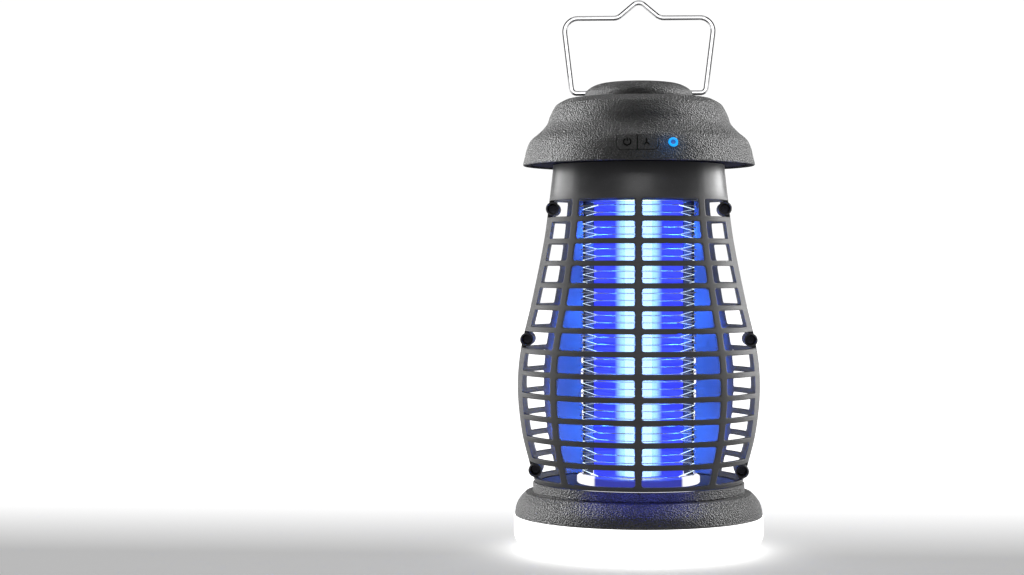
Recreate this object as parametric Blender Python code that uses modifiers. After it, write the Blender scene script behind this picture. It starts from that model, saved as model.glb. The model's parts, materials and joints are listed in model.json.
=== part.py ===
"""Electric bug zapper lantern: turned base, slotted guard, hat with controls and a wire bail.

Metres, +Z up, front towards -Y.  The origin is on the axis, on the surface the lantern stands on.
"""

import math

import bmesh
import bpy
from mathutils import Matrix, Vector

MM = 0.001

# Clearances between neighbouring pieces
GAP = 0.3 * MM
MERGE = 0.01 * MM

# Base
FOOT_RADIUS = 5.0 * MM
FOOT_TOP = 1.7 * MM
FOOT_CIRCLE = 44.0 * MM
DIFFUSER_BOTTOM = 0.8 * MM
DIFFUSER_TOP = 18.2 * MM
DIFFUSER_RADIUS = 62.8 * MM
DIFFUSER_EDGE = 9.0 * MM
DIFFUSER_WALL = 2.0 * MM
BAND_RADIUS = 53.3 * MM
BAND_BOTTOM = 29.5 * MM
BAND_TOP = 34.7 * MM
DECK_TOP = 21.0 * MM
DECK_BOTTOM = 19.0 * MM
TOWER_RADIUS = 9.0 * MM
TOWER_TOP = 33.8 * MM
TOWER_WALL = 1.5 * MM
TRAY_FLOOR = 26.0 * MM
TRAY_RIM = 34.2 * MM
TRAY_RADIUS = 50.8 * MM
TRAY_WALL = 1.2 * MM
LED_BOARD_BOTTOM = 15.7 * MM
LED_BOARD_TOP = 17.3 * MM
LED_COUNT = 12
BASE_SCREW_CIRCLE = 40.0 * MM
BASE_BOSS_TOP = TRAY_FLOOR - GAP

# Guard
SLOT_ROWS = 13
SLOT_PITCH = 10.9 * MM
SLOT_HEIGHT = 8.27 * MM
TOP_SLOT_CENTRE = 172.1 * MM
GUARD_BOTTOM = BAND_TOP + GAP
GUARD_TOP = 194.3 * MM
GUARD_WALL = 2.5 * MM
CENTRE_RIB_WIDTH = 3.1 * MM
SIDE_RIB_WIDTH = 3.3 * MM
SEAM_STRIP = 3.5 * MM
FRONT_RIB_ANGLE = math.radians(42.5)
REAR_PANEL_ANGLES = (math.radians(30.0), math.radians(54.0))
NECK_FLANGE_INNER = 33.5 * MM
NECK_FLANGE_THICKNESS = 2.0 * MM
GUARD_BOSS_RADIUS = 3.4 * MM
GUARD_BOSS_LENGTH = 14.0 * MM
REAR_BOSS_LENGTH = 9.0 * MM
GUARD_BOSS_INSET = 2.7 * MM
GUARD_BOSS_ROWS = (0, 6, 12)
BOSS_SLOT_DEPTH = 5.0 * MM
SLOT_DEPTH = 6.0 * MM
FAR = 90.0 * MM
SKY = 300.0 * MM

# Hat and dome
HAT_BOTTOM = 194.6 * MM
HAT_TOP = 227.5 * MM
HAT_WALL = 2.4 * MM
PLATE_TOP = 196.6 * MM
PLATE_RADIUS = 55.2 * MM
PLATE_HOLE = 10.0 * MM
HAT_SCREW_CIRCLE = 37.0 * MM
DOME_BOTTOM = HAT_TOP + GAP
DOME_WALL = 2.2 * MM

# Handle
BAIL_AXIS = 230.7 * MM
BAIL_WIRE = 1.25 * MM
BAIL_BORE = 1.65 * MM

# Controls: a patch of the hat wall whose outward normal tilts up
CONTROL_HEIGHT = 202.8 * MM
CONTROL_RADIUS = 56.2 * MM
CONTROL_TILT = math.radians(20.0)
BUTTON_HEIGHT = 7.5 * MM
POWER_EDGES = (-10.6 * MM, -0.8 * MM)
MODE_EDGES = (-0.4 * MM, 9.4 * MM)
FLANGE_DEPTH = 4.4 * MM
FLANGE_THICKNESS = 0.8 * MM
FLANGE_REACH = 0.9 * MM
FLANGE_LOWER_REACH = 0.4 * MM
LENS_X = 16.5 * MM
LENS_RADIUS = 2.3 * MM

# Charging port cover, on the rear of the hat
COVER_SIZE = (14.4 * MM, 7.4 * MM)
COVER_THICKNESS = 1.3 * MM
COVER_TILT = math.radians(14.0)
COVER_CENTRE = Vector((0.0, 57.1 * MM, 199.9 * MM))
COVER_AXIS = Vector((0.0, 56.2 * MM, 203.6 * MM))

# Lamp and grid
HOLDER_RADIUS = 31.0 * MM
HOLDER_LOW = (35.5 * MM, 38.0 * MM)
HOLDER_HIGH = (176.0 * MM, 179.0 * MM)
HOLDER_FLOOR = 0.8 * MM
TUBE_RADIUS = 10.8 * MM
SLEEVE_RADIUS = 22.5 * MM
SLEEVE_WALL = 1.2 * MM
STEM_RADIUS = 14.0 * MM
POST_RADIUS = 2.0 * MM
POST_CIRCLE = 26.0 * MM
GRID_RADIUS = 28.8 * MM
GRID_WIRE = 0.45 * MM
GRID_PITCH = 7.27 * MM
GRID_START = 39.2 * MM
GRID_TURNS = 19
GRID_POINTS_PER_TURN = 8

# Electronics
CELL_RADIUS = 9.2 * MM
CELL_LENGTH = 65.0 * MM
CELL_CENTRE = Vector((0.0, 14.0 * MM, 207.5 * MM))
CRADLE_BOX = ((-34.5, 4.0, 196.9), (34.5, 24.0, 203.0))
CONTROL_BOARD_BOX = ((-24.0, -40.0, 198.5), (24.0, -2.0, 200.1))
HV_MODULE_BOX = ((-20.0, -37.0, 200.4), (0.0, -15.0, 212.0))
CHARGE_BOARD_BOX = ((-7.0, 42.5, 196.9), (7.0, 53.2, 198.0))
SOCKET_BOX = ((-4.4, 46.2, 198.3), (4.4, 53.7, 201.5))
SOCKET_MOUTH_BOX = ((-4.0, 47.5, 198.7), (4.0, 55.0, 201.1))

# Fixings
SCREW_HEAD = 2.6 * MM
SCREW_SHANK = 1.3 * MM
SCREW_HOLE = 1.6 * MM
CAGE_SCREW_HEAD = 2.1 * MM
CAGE_SCREW_SHANK = 1.0 * MM
CAGE_SCREW_HOLE = 1.3 * MM
CONTACT_X = 4.0 * MM
CONTACT_RADIUS = 1.0 * MM

GUARD_STEPS = 32
ROUND_STEPS = 24
WIDE_STEPS = 36
SMALL_STEPS = 12
TINY_STEPS = 8


def clear_scene():
    for item in list(bpy.data.objects):
        bpy.data.objects.remove(item, do_unlink=True)


def new_collection(name):
    collection = bpy.data.collections.new(name)
    bpy.context.scene.collection.children.link(collection)
    return collection


clear_scene()
PARTS = new_collection("bug_zapper")
CUTTERS = new_collection("cutters")


def make_material(name, colour, roughness, metallic=0.0, alpha=1.0):
    material = bpy.data.materials.new(name)
    material.use_nodes = True
    shader = material.node_tree.nodes["Principled BSDF"]
    shader.inputs["Base Color"].default_value = (*colour, 1.0)
    shader.inputs["Roughness"].default_value = roughness
    shader.inputs["Metallic"].default_value = metallic
    shader.inputs["Alpha"].default_value = alpha
    material.diffuse_color = (*colour, 1.0)
    return material


GRAINED_BLACK = make_material("grained_black_plastic", (0.035, 0.035, 0.036), 0.55)
SATIN_BLACK = make_material("satin_black_plastic", (0.03, 0.03, 0.034), 0.35)
LANTERN_WHITE = make_material("lantern_white_plastic", (0.95, 0.95, 0.93), 0.3)
TUBE_GLASS = make_material("uv_tube_glass", (0.75, 0.92, 1.0), 0.1)
SLEEVE_BLUE = make_material("blue_lamp_sleeve", (0.07, 0.1, 0.95), 0.25)
CHROME = make_material("chromed_wire", (0.75, 0.75, 0.76), 0.15, 1.0)
STEEL = make_material("bright_steel", (0.6, 0.6, 0.6), 0.3, 1.0)
DARK_STEEL = make_material("blackened_steel", (0.09, 0.09, 0.1), 0.35, 1.0)
HOLDER_DARK = make_material("dark_insulator", (0.045, 0.045, 0.05), 0.4)
TRAY_BLACK = make_material("tray_black_plastic", (0.03, 0.03, 0.03), 0.5)
TRAY_WHITE = make_material("tray_white_plastic", (0.8, 0.8, 0.82), 0.4)
BOARD_GREEN = make_material("circuit_board", (0.02, 0.18, 0.07), 0.4)
CELL_WRAP = make_material("battery_wrap", (0.05, 0.2, 0.5), 0.4)
POTTING = make_material("potting_resin", (0.02, 0.02, 0.025), 0.35)
RUBBER = make_material("black_rubber", (0.025, 0.025, 0.025), 0.8)
BUTTON_BLACK = make_material("button_black_plastic", (0.04, 0.04, 0.042), 0.5)
LENS_BLUE = make_material("indicator_lens", (0.02, 0.3, 0.8), 0.15)
BRASS = make_material("plated_contact", (0.8, 0.6, 0.25), 0.25, 1.0)


def place(name, data, material, collection=None):
    """Put a mesh or curve in the scene as a named part, or as a cutter when it has no material."""
    item = bpy.data.objects.new(name, data)
    if material is None:
        CUTTERS.objects.link(item)
        item.hide_render = True
        item.display_type = "WIRE"
    else:
        (collection or PARTS).objects.link(item)
        data.materials.append(material)
    return item


def smooth(mesh):
    mesh.shade_smooth()
    mesh.set_sharp_from_angle(angle=math.radians(35.0))


def mesh_from(bm, name):
    mesh = bpy.data.meshes.new(name)
    bm.to_mesh(mesh)
    bm.free()
    smooth(mesh)
    return mesh


def turned(name, profile, material, steps=ROUND_STEPS):
    """Revolve (radius, height) points; they run down the outer side.  Open profiles end on the axis."""
    closed = profile[0][0] > 0.0
    points = [(radius, 0.0, height) for radius, height in profile]
    edges = [(index, index + 1) for index in range(len(points) - 1)]
    if closed:
        edges.append((len(points) - 1, 0))
    mesh = bpy.data.meshes.new(name)
    mesh.from_pydata(points, edges, [])
    item = place(name, mesh, material)
    screw = item.modifiers.new("Turn", "SCREW")
    screw.steps = steps
    screw.render_steps = steps
    screw.use_merge_vertices = True
    screw.merge_threshold = MERGE
    screw.use_smooth_shade = True
    screw.use_normal_calculate = False
    return item


def block(name, low, high, material=None, tilt=0.0, origin=None):
    """Box between two corners, or about an origin and tilted about X when an origin is given."""
    size = Vector(high) - Vector(low)
    centre = (Vector(high) + Vector(low)) / 2.0
    bm = bmesh.new()
    bmesh.ops.create_cube(bm, size=1.0)
    bmesh.ops.scale(bm, vec=size, verts=bm.verts)
    bmesh.ops.translate(bm, vec=centre, verts=bm.verts)
    item = place(name, mesh_from(bm, name), material)
    if origin is not None:
        item.location = origin
        item.rotation_euler = (tilt, 0.0, 0.0)
    return item


def rod(name, radius, start, end, material=None, segments=SMALL_STEPS):
    """Cylinder from one point to another."""
    start = Vector(start)
    end = Vector(end)
    bm = bmesh.new()
    bmesh.ops.create_cone(bm, cap_ends=True, segments=segments, radius1=radius, radius2=radius,
                          depth=(end - start).length)
    turn = Vector((0.0, 0.0, 1.0)).rotation_difference(end - start).to_matrix().to_4x4()
    bmesh.ops.transform(bm, matrix=Matrix.Translation((start + end) / 2.0) @ turn, verts=bm.verts)
    return place(name, mesh_from(bm, name), material)


def combine(target, other, operation="DIFFERENCE"):
    modifier = target.modifiers.new(other.name, "BOOLEAN")
    modifier.operation = operation
    modifier.solver = "EXACT"
    modifier.object = other
    return target


def on_circle(radius, degrees, height=0.0):
    angle = math.radians(degrees)
    return Vector((radius * math.cos(angle), radius * math.sin(angle), height))


def arc(centre, radius, start, end, steps):
    """Points of a circular arc in the (radius, height) plane, angles in degrees."""
    points = []
    for index in range(steps + 1):
        angle = math.radians(start + (end - start) * index / steps)
        points.append((centre[0] + radius * math.cos(angle), centre[1] + radius * math.sin(angle)))
    return points


def inset(profile, depth):
    """Copy of a profile moved inwards by a wall thickness, square to the line at each point."""
    moved = []
    for index, point in enumerate(profile):
        before = Vector(profile[max(index - 1, 0)])
        after = Vector(profile[min(index + 1, len(profile) - 1)])
        along = (after - before).normalized()
        moved.append((point[0] + along.y * depth, point[1] - along.x * depth))
    return moved


def screw_part(name, head, direction, head_radius, shank_radius, length, material=STEEL):
    """Cross-headed screw: head starts at a point and the shank runs on along a direction."""
    direction = Vector(direction).normalized()
    head_depth = 1.5 * MM
    item = rod(name, head_radius, head, head + direction * head_depth, material, TINY_STEPS)
    shank = rod(name + "_shank", shank_radius, head + direction * head_depth * 0.5,
                head + direction * length, segments=TINY_STEPS)
    combine(item, shank, "UNION")
    across = direction.orthogonal().normalized()
    side = direction.cross(across)
    for index, way in enumerate((across, side)):
        other = side if index == 0 else across
        blade = block(f"{name}_recess_{index}", (-1.3 * MM, -0.3 * MM, -0.7 * MM),
                      (1.3 * MM, 0.3 * MM, 0.7 * MM))
        turn = Matrix((way, other, way.cross(other))).transposed()
        blade.matrix_world = Matrix.Translation(head) @ turn.to_4x4()
        combine(item, blade)
    return item


# ---------------------------------------------------------------- base

def base_outline():
    """Outer line of the black shoulder ring, from the band down to the light ring."""
    return [(56.9 * MM, 29.5 * MM), (58.9 * MM, 27.5 * MM), (60.5 * MM, 25.4 * MM),
            (61.5 * MM, 23.4 * MM), (62.0 * MM, 21.4 * MM), (62.4 * MM, DIFFUSER_TOP + GAP)]


def build_base_ring():
    profile = [(0.0, TOWER_TOP), (TOWER_RADIUS, TOWER_TOP), (TOWER_RADIUS, DECK_TOP),
               (59.6 * MM, DECK_TOP), (58.3 * MM, 25.0 * MM), (56.2 * MM, 27.3 * MM),
               (51.4 * MM, 27.5 * MM), (51.4 * MM, BAND_TOP), (BAND_RADIUS, BAND_TOP),
               (BAND_RADIUS, BAND_BOTTOM)]
    profile += base_outline()
    profile += [(60.2 * MM, DIFFUSER_TOP + GAP), (60.0 * MM, DECK_BOTTOM),
                (TOWER_RADIUS - TOWER_WALL, DECK_BOTTOM),
                (TOWER_RADIUS - TOWER_WALL, TOWER_TOP - TOWER_WALL), (0.0, TOWER_TOP - TOWER_WALL)]
    ring = turned("base_ring", profile, GRAINED_BLACK, WIDE_STEPS)
    for index in range(3):
        spot = on_circle(BASE_SCREW_CIRCLE, 30 + 120 * index)
        boss = rod(f"base_boss_{index}", 3.2 * MM, spot + Vector((0, 0, LED_BOARD_TOP + GAP)),
                   spot + Vector((0, 0, BASE_BOSS_TOP)))
        combine(ring, boss, "UNION")
        hole = rod(f"base_boss_hole_{index}", SCREW_HOLE, spot + Vector((0, 0, 16.0 * MM)),
                   spot + Vector((0, 0, 24.8 * MM)))
        combine(ring, hole)
        screw_part(f"base_screw_{index + 1}", spot + Vector((0, 0, 13.9 * MM)), (0, 0, 1),
                   SCREW_HEAD, SCREW_SHANK, 10.4 * MM)
    for index, side in enumerate((-1, 1)):
        x = side * CONTACT_X
        hole = rod(f"contact_hole_{index}", CONTACT_RADIUS + GAP, (x, 0, 30.0 * MM), (x, 0, 36.0 * MM))
        combine(ring, hole)
        rod(f"contact_pin_{index + 1}", CONTACT_RADIUS, (x, 0, 24.0 * MM), (x, 0, HOLDER_LOW[0] - GAP), BRASS)


def build_diffuser():
    edge = (DIFFUSER_RADIUS - DIFFUSER_EDGE, DIFFUSER_BOTTOM + DIFFUSER_EDGE)
    outer = [(DIFFUSER_RADIUS, DIFFUSER_TOP)] + arc(edge, DIFFUSER_EDGE, 0, -90, 4)
    inner_edge = arc(edge, DIFFUSER_EDGE - DIFFUSER_WALL, -90, 0, 3)
    floor_top = DIFFUSER_BOTTOM + DIFFUSER_WALL
    profile = [(0.0, floor_top)] + inner_edge + [(DIFFUSER_RADIUS - DIFFUSER_WALL, DIFFUSER_TOP)]
    profile += outer + [(0.0, DIFFUSER_BOTTOM)]
    diffuser = turned("lantern_diffuser", profile, LANTERN_WHITE, WIDE_STEPS)
    for index in range(4):
        spot = on_circle(FOOT_CIRCLE, 45 + 90 * index)
        pocket = rod(f"foot_pocket_{index}", FOOT_RADIUS + GAP, spot, spot + Vector((0, 0, FOOT_TOP + GAP)))
        combine(diffuser, pocket)
        rod(f"rubber_foot_{index + 1}", FOOT_RADIUS, spot, spot + Vector((0, 0, FOOT_TOP)), RUBBER)


def build_led_board():
    board = turned("led_ring_board", [(56.0 * MM, LED_BOARD_TOP), (56.0 * MM, LED_BOARD_BOTTOM),
                                      (34.0 * MM, LED_BOARD_BOTTOM), (34.0 * MM, LED_BOARD_TOP)],
                   BOARD_GREEN)
    for index in range(LED_COUNT):
        lamp = block(f"led_{index}", (-1.75 * MM, -1.4 * MM, -1.0 * MM), (1.75 * MM, 1.4 * MM, 0.2 * MM))
        spot = on_circle(51.0 * MM, 15 + 360 * index / LED_COUNT, LED_BOARD_BOTTOM)
        lamp.location = spot
        lamp.rotation_euler = (0, 0, math.radians(15 + 360 * index / LED_COUNT))
        combine(board, lamp, "UNION")
    for index in range(3):
        spot = on_circle(BASE_SCREW_CIRCLE, 30 + 120 * index)
        hole = rod(f"led_board_hole_{index}", 1.7 * MM, spot + Vector((0, 0, 14 * MM)),
                   spot + Vector((0, 0, 19 * MM)))
        combine(board, hole)


def build_tray():
    inner = TOWER_RADIUS + 1.0 * MM
    profile = [(TRAY_RADIUS, TRAY_RIM), (TRAY_RADIUS, TRAY_FLOOR + 1.5 * MM),
               (TRAY_RADIUS - 1.5 * MM, TRAY_FLOOR), (inner, TRAY_FLOOR), (inner, 32.5 * MM),
               (inner + TRAY_WALL, 32.5 * MM), (inner + TRAY_WALL, TRAY_FLOOR + TRAY_WALL),
               (TRAY_RADIUS - 2.0 * MM, TRAY_FLOOR + TRAY_WALL),
               (TRAY_RADIUS - TRAY_WALL, TRAY_FLOOR + 2.0 * MM), (TRAY_RADIUS - TRAY_WALL, TRAY_RIM)]
    turned("insect_tray", profile, TRAY_WHITE)


# ---------------------------------------------------------------- guard

GUARD_LINE = ((34.7, 52.3), (44.0, 55.0), (60.0, 58.9), (81.0, 61.0), (100.0, 59.7),
              (128.0, 53.4), (156.0, 47.8), (176.8, 45.0), (194.3, 43.0))


def guard_radius(height):
    """Smooth outer radius of the guard at a height: cubic through the guard line's points."""
    points = [(level * MM, radius * MM) for level, radius in GUARD_LINE]
    index = 0
    while index < len(points) - 2 and height > points[index + 1][0]:
        index += 1

    def slope(at):
        low = points[max(at - 1, 0)]
        high = points[min(at + 1, len(points) - 1)]
        return (high[1] - low[1]) / (high[0] - low[0])

    (z0, r0), (z1, r1) = points[index], points[index + 1]
    span = z1 - z0
    t = (height - z0) / span
    return (r0 * (1 + 2 * t) * (1 - t) ** 2 + slope(index) * span * t * (1 - t) ** 2
            + r1 * t * t * (3 - 2 * t) - slope(index + 1) * span * t * t * (1 - t))


def row_centre(row):
    return TOP_SLOT_CENTRE - row * SLOT_PITCH


def guard_levels():
    """Heights of the guard's rings of points: middle of a bar on the slotted part, then the neck."""
    levels = [GUARD_BOTTOM, row_centre(SLOT_ROWS - 1) + SLOT_PITCH / 2.0]
    levels += [row_centre(row) - SLOT_PITCH / 2.0 for row in (9, 6, 3, 0)]
    levels += [TOP_SLOT_CENTRE + SLOT_PITCH / 2.0, GUARD_TOP]
    return levels


def slot_cutter(name, edges, row, front, deep):
    """Prism along Y; each side edge follows the guard line between the slot's bottom and top."""
    bm = bmesh.new()
    bmesh.ops.create_cube(bm, size=1.0)
    centre = row_centre(row)
    near = BOSS_SLOT_DEPTH if deep else SLOT_DEPTH
    for vertex in bm.verts:
        height = centre + math.copysign(SLOT_HEIGHT / 2.0, vertex.co.z)
        edge = edges[0] if vertex.co.x < 0 else edges[1]
        distance = near if vertex.co.y < 0 else FAR
        vertex.co = Vector((edge(height), distance * (-1 if front else 1), height))
    if front:
        bmesh.ops.reverse_faces(bm, faces=bm.faces)
    return mesh_from(bm, name)


def rib_line(front, outward):
    """Distance of a side rib's edge from the middle, as a function of height.

    The front rib is a narrow upright; the rear one is a panel between two angles.
    """
    if not front:
        angle = REAR_PANEL_ANGLES[1 if outward else 0]
        return lambda height: guard_radius(height) * math.sin(angle)
    offset = SIDE_RIB_WIDTH / 2.0 * (1 if outward else -1)
    return lambda height: guard_radius(height) * math.sin(FRONT_RIB_ANGLE) + offset


def slot_edges(front, with_boss):
    """Side lines of the two slots right of the centre rib, as functions of height."""
    def centre_edge(height):
        return CENTRE_RIB_WIDTH / 2.0

    def strip_edge(height):
        return guard_radius(height) + (3.0 * MM if with_boss else -SEAM_STRIP)

    return (centre_edge, rib_line(front, False)), (rib_line(front, True), strip_edge)


def mirrored_edges(edges):
    return (lambda height: -edges[1](height)), (lambda height: -edges[0](height))


def build_slot_cutters(front):
    """All slots of one half as a single cutter mesh of separate prisms."""
    side_name = "front" if front else "rear"
    bm = bmesh.new()
    for row in range(SLOT_ROWS):
        with_boss = row in GUARD_BOSS_ROWS and front
        columns = slot_edges(front, with_boss)
        columns += tuple(mirrored_edges(edges) for edges in columns)
        for edges in columns:
            mesh = slot_cutter("slot", edges, row, front, with_boss)
            bm.from_mesh(mesh)
            bpy.data.meshes.remove(mesh)
    return place(f"slots_{side_name}", mesh_from(bm, f"slots_{side_name}"), None)


def guard_ring(name, material):
    levels = guard_levels()
    outer = [(guard_radius(level), level) for level in reversed(levels)]
    inner = [(guard_radius(level) - GUARD_WALL, level) for level in levels]
    flange_bottom = GUARD_TOP - NECK_FLANGE_THICKNESS
    inner[-1] = (guard_radius(GUARD_TOP) - GUARD_WALL, flange_bottom)
    inner += [(NECK_FLANGE_INNER, flange_bottom), (NECK_FLANGE_INNER, GUARD_TOP)]
    return turned(name, outer + inner, material, GUARD_STEPS)


def boss_spot(row, side):
    height = row_centre(row)
    return Vector((side * (guard_radius(height) - GUARD_BOSS_INSET), 0.0, height))


def build_guard_half(name, front):
    way = -1 if front else 1
    half = guard_ring(name, SATIN_BLACK)
    near_side, far_side = (-GAP / 2, FAR) if front else (-FAR, GAP / 2)
    combine(half, block(f"{name}_seam", (-FAR, near_side, 0.0), (FAR, far_side, SKY)))
    combine(half, build_slot_cutters(front))
    length = GUARD_BOSS_LENGTH if front else REAR_BOSS_LENGTH
    for row in GUARD_BOSS_ROWS:
        for side in (-1, 1):
            spot = boss_spot(row, side)
            boss = rod(f"{name}_boss_{row}_{side}", GUARD_BOSS_RADIUS, spot + Vector((0, way * GAP / 2, 0)),
                       spot + Vector((0, way * length, 0)))
            combine(half, boss, "UNION")
            if front:
                recess = rod(f"{name}_recess_{row}_{side}", 2.5 * MM, spot + Vector((0, -5 * MM, 0)),
                             spot + Vector((0, -20 * MM, 0)), segments=TINY_STEPS)
                combine(half, recess)
            bore = rod(f"{name}_bore_{row}_{side}", CAGE_SCREW_HOLE, spot + Vector((0, -6 * MM, 0)),
                       spot + Vector((0, 7 * MM, 0)), segments=TINY_STEPS)
            combine(half, bore)
    for index in range(3):
        angle = 90 + 120 * index
        if (angle == 90) == front:
            continue
        spot = on_circle(HAT_SCREW_CIRCLE, angle)
        hole = rod(f"{name}_flange_hole_{index}", SCREW_HOLE, spot + Vector((0, 0, GUARD_TOP - 4 * MM)),
                   spot + Vector((0, 0, GUARD_TOP + 1 * MM)), segments=TINY_STEPS)
        combine(half, hole)
    return half


def build_guard():
    build_guard_half("cage_front", True)
    build_guard_half("cage_rear", False)
    number = 1
    for row in GUARD_BOSS_ROWS:
        for side in (-1, 1):
            head = boss_spot(row, side) + Vector((0, -6.8 * MM, 0))
            screw_part(f"cage_screw_{number}", head, (0, 1, 0), CAGE_SCREW_HEAD, CAGE_SCREW_SHANK,
                       13.0 * MM, DARK_STEEL)
            number += 1


# ---------------------------------------------------------------- hat

HAT_LINE = [(35.5 * MM, HAT_TOP), (37.7 * MM, 226.8 * MM), (41.2 * MM, 224.8 * MM),
            (42.8 * MM, 222.8 * MM), (44.8 * MM, 218.8 * MM), (46.3 * MM, 214.7 * MM),
            (49.8 * MM, 210.7 * MM), (54.4 * MM, 206.7 * MM), (56.4 * MM, 202.6 * MM),
            (57.4 * MM, 198.6 * MM), (58.4 * MM, HAT_BOTTOM)]


def skin(name, outside, inside, material=None):
    """Turned layer that follows the hat's side wall, from one depth to another."""
    side = HAT_LINE[4:]
    outer = inset(side, -outside)
    inner = inset(side, inside)
    return turned(name, outer + inner[::-1], material, WIDE_STEPS)


def control_frame(x=0.0):
    """Origin on the control patch; local -Y points out of the hat."""
    return Vector((x, -CONTROL_RADIUS, CONTROL_HEIGHT))


def build_hat_shell():
    inner = inset(HAT_LINE, HAT_WALL)
    inner = [(35.0 * MM, HAT_TOP - HAT_WALL)] + inner[2:7:2] + inner[7:11] + [(55.8 * MM, HAT_BOTTOM)]
    profile = [(0.0, HAT_TOP)] + HAT_LINE + inner[::-1] + [(0.0, HAT_TOP - HAT_WALL)]
    hat = turned("hat_shell", profile, GRAINED_BLACK, WIDE_STEPS)
    for index in range(3):
        spot = on_circle(HAT_SCREW_CIRCLE, 90 + 120 * index)
        pillar = rod(f"hat_pillar_{index}", 3.0 * MM, spot + Vector((0, 0, PLATE_TOP + GAP)),
                     spot + Vector((0, 0, 224.0 * MM)))
        combine(hat, pillar, "UNION")
        hole = rod(f"hat_pillar_hole_{index}", SCREW_HOLE, spot + Vector((0, 0, 196.0 * MM)),
                   spot + Vector((0, 0, 207.0 * MM)), segments=TINY_STEPS)
        combine(hat, hole)
        screw_part(f"hat_screw_{index + 1}", spot + Vector((0, 0, 190.4 * MM)), (0, 0, 1),
                   SCREW_HEAD, SCREW_SHANK, 15.5 * MM)
    half_height = BUTTON_HEIGHT / 2.0 + GAP
    window = block("button_window", (POWER_EDGES[0] - GAP, -9 * MM, -half_height),
                   (MODE_EDGES[1] + GAP, 9 * MM, half_height), tilt=-CONTROL_TILT, origin=control_frame())
    combine(hat, window)
    out = Vector((0, -math.cos(CONTROL_TILT), math.sin(CONTROL_TILT)))
    lens_hole = rod("lens_hole", LENS_RADIUS + GAP, lens_centre() - out * 9 * MM, lens_centre() + out * 9 * MM)
    combine(hat, lens_hole)
    recess = skin("cover_recess", 2.0 * MM, COVER_THICKNESS + GAP)
    recess_window = cover_box("cover_recess_window", GAP)
    combine(recess, recess_window, "INTERSECT")
    combine(hat, recess)
    combine(hat, block("port_hole", (-4.8 * MM, 46 * MM, 198.1 * MM), (4.8 * MM, 62 * MM, 201.7 * MM)))
    return hat


def lens_centre():
    y = -math.sqrt(CONTROL_RADIUS ** 2 - LENS_X ** 2)
    return Vector((LENS_X, y, CONTROL_HEIGHT))


def cover_box(name, margin):
    width, height = COVER_SIZE
    return block(name, (-width / 2 - margin, -6 * MM, -height / 2 - margin),
                 (width / 2 + margin, 6 * MM, height / 2 + margin), tilt=COVER_TILT, origin=COVER_CENTRE)


def build_plate():
    profile = [(PLATE_RADIUS, PLATE_TOP), (PLATE_RADIUS, HAT_BOTTOM), (PLATE_HOLE, HAT_BOTTOM),
               (PLATE_HOLE, PLATE_TOP)]
    plate = turned("hat_base_plate", profile, SATIN_BLACK)
    for index in range(3):
        spot = on_circle(HAT_SCREW_CIRCLE, 90 + 120 * index)
        hole = rod(f"plate_hole_{index}", SCREW_HOLE, spot + Vector((0, 0, 193 * MM)),
                   spot + Vector((0, 0, 198 * MM)), segments=TINY_STEPS)
        combine(plate, hole)


def press_button(name, edges):
    """Cap cut from the hat's own wall line, with a retaining flange behind the wall."""
    cap = skin(name, 0.0, FLANGE_DEPTH + 0.4 * MM, BUTTON_BLACK)
    half_height = BUTTON_HEIGHT / 2.0
    window = block(f"{name}_outline", (edges[0], -9 * MM, -half_height), (edges[1], 9 * MM, half_height),
                   tilt=-CONTROL_TILT, origin=control_frame())
    combine(cap, window, "INTERSECT")
    reach = FLANGE_REACH
    left = edges[0] - (reach if edges == POWER_EDGES else 0.0)
    right = edges[1] + (reach if edges == MODE_EDGES else 0.0)
    flange = block(f"{name}_flange", (left, FLANGE_DEPTH, -half_height - FLANGE_LOWER_REACH),
                   (right, FLANGE_DEPTH + FLANGE_THICKNESS, half_height),
                   tilt=-CONTROL_TILT, origin=control_frame())
    combine(cap, flange, "UNION")


def build_controls():
    press_button("power_button", POWER_EDGES)
    press_button("mode_button", MODE_EDGES)
    out = Vector((0, -math.cos(CONTROL_TILT), math.sin(CONTROL_TILT)))
    rod("indicator_lens", LENS_RADIUS, lens_centre() - out * 4.5 * MM, lens_centre() + out * 0.2 * MM,
        LENS_BLUE)
    board = block("switch_board", (-13 * MM, 9.8 * MM, -1.4 * MM), (20 * MM, 11.0 * MM, 4.8 * MM),
                  BOARD_GREEN, tilt=-CONTROL_TILT, origin=control_frame())
    for index, edges in enumerate((POWER_EDGES, MODE_EDGES)):
        x = (edges[0] + edges[1]) / 2.0
        body = block(f"tact_body_{index}", (x - 3 * MM, 7.1 * MM, -1.2 * MM), (x + 3 * MM, 10.0 * MM, 4.5 * MM),
                     tilt=-CONTROL_TILT, origin=control_frame())
        combine(board, body, "UNION")
        plunger = block(f"tact_plunger_{index}", (x - 1.2 * MM, 6.3 * MM, 0.4 * MM),
                        (x + 1.2 * MM, 7.3 * MM, 2.8 * MM), tilt=-CONTROL_TILT, origin=control_frame())
        combine(board, plunger, "UNION")


def build_port_cover():
    cover = skin("usb_cover", 0.0, COVER_THICKNESS, RUBBER)
    combine(cover, cover_box("usb_cover_outline", 0.0), "INTERSECT")


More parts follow.
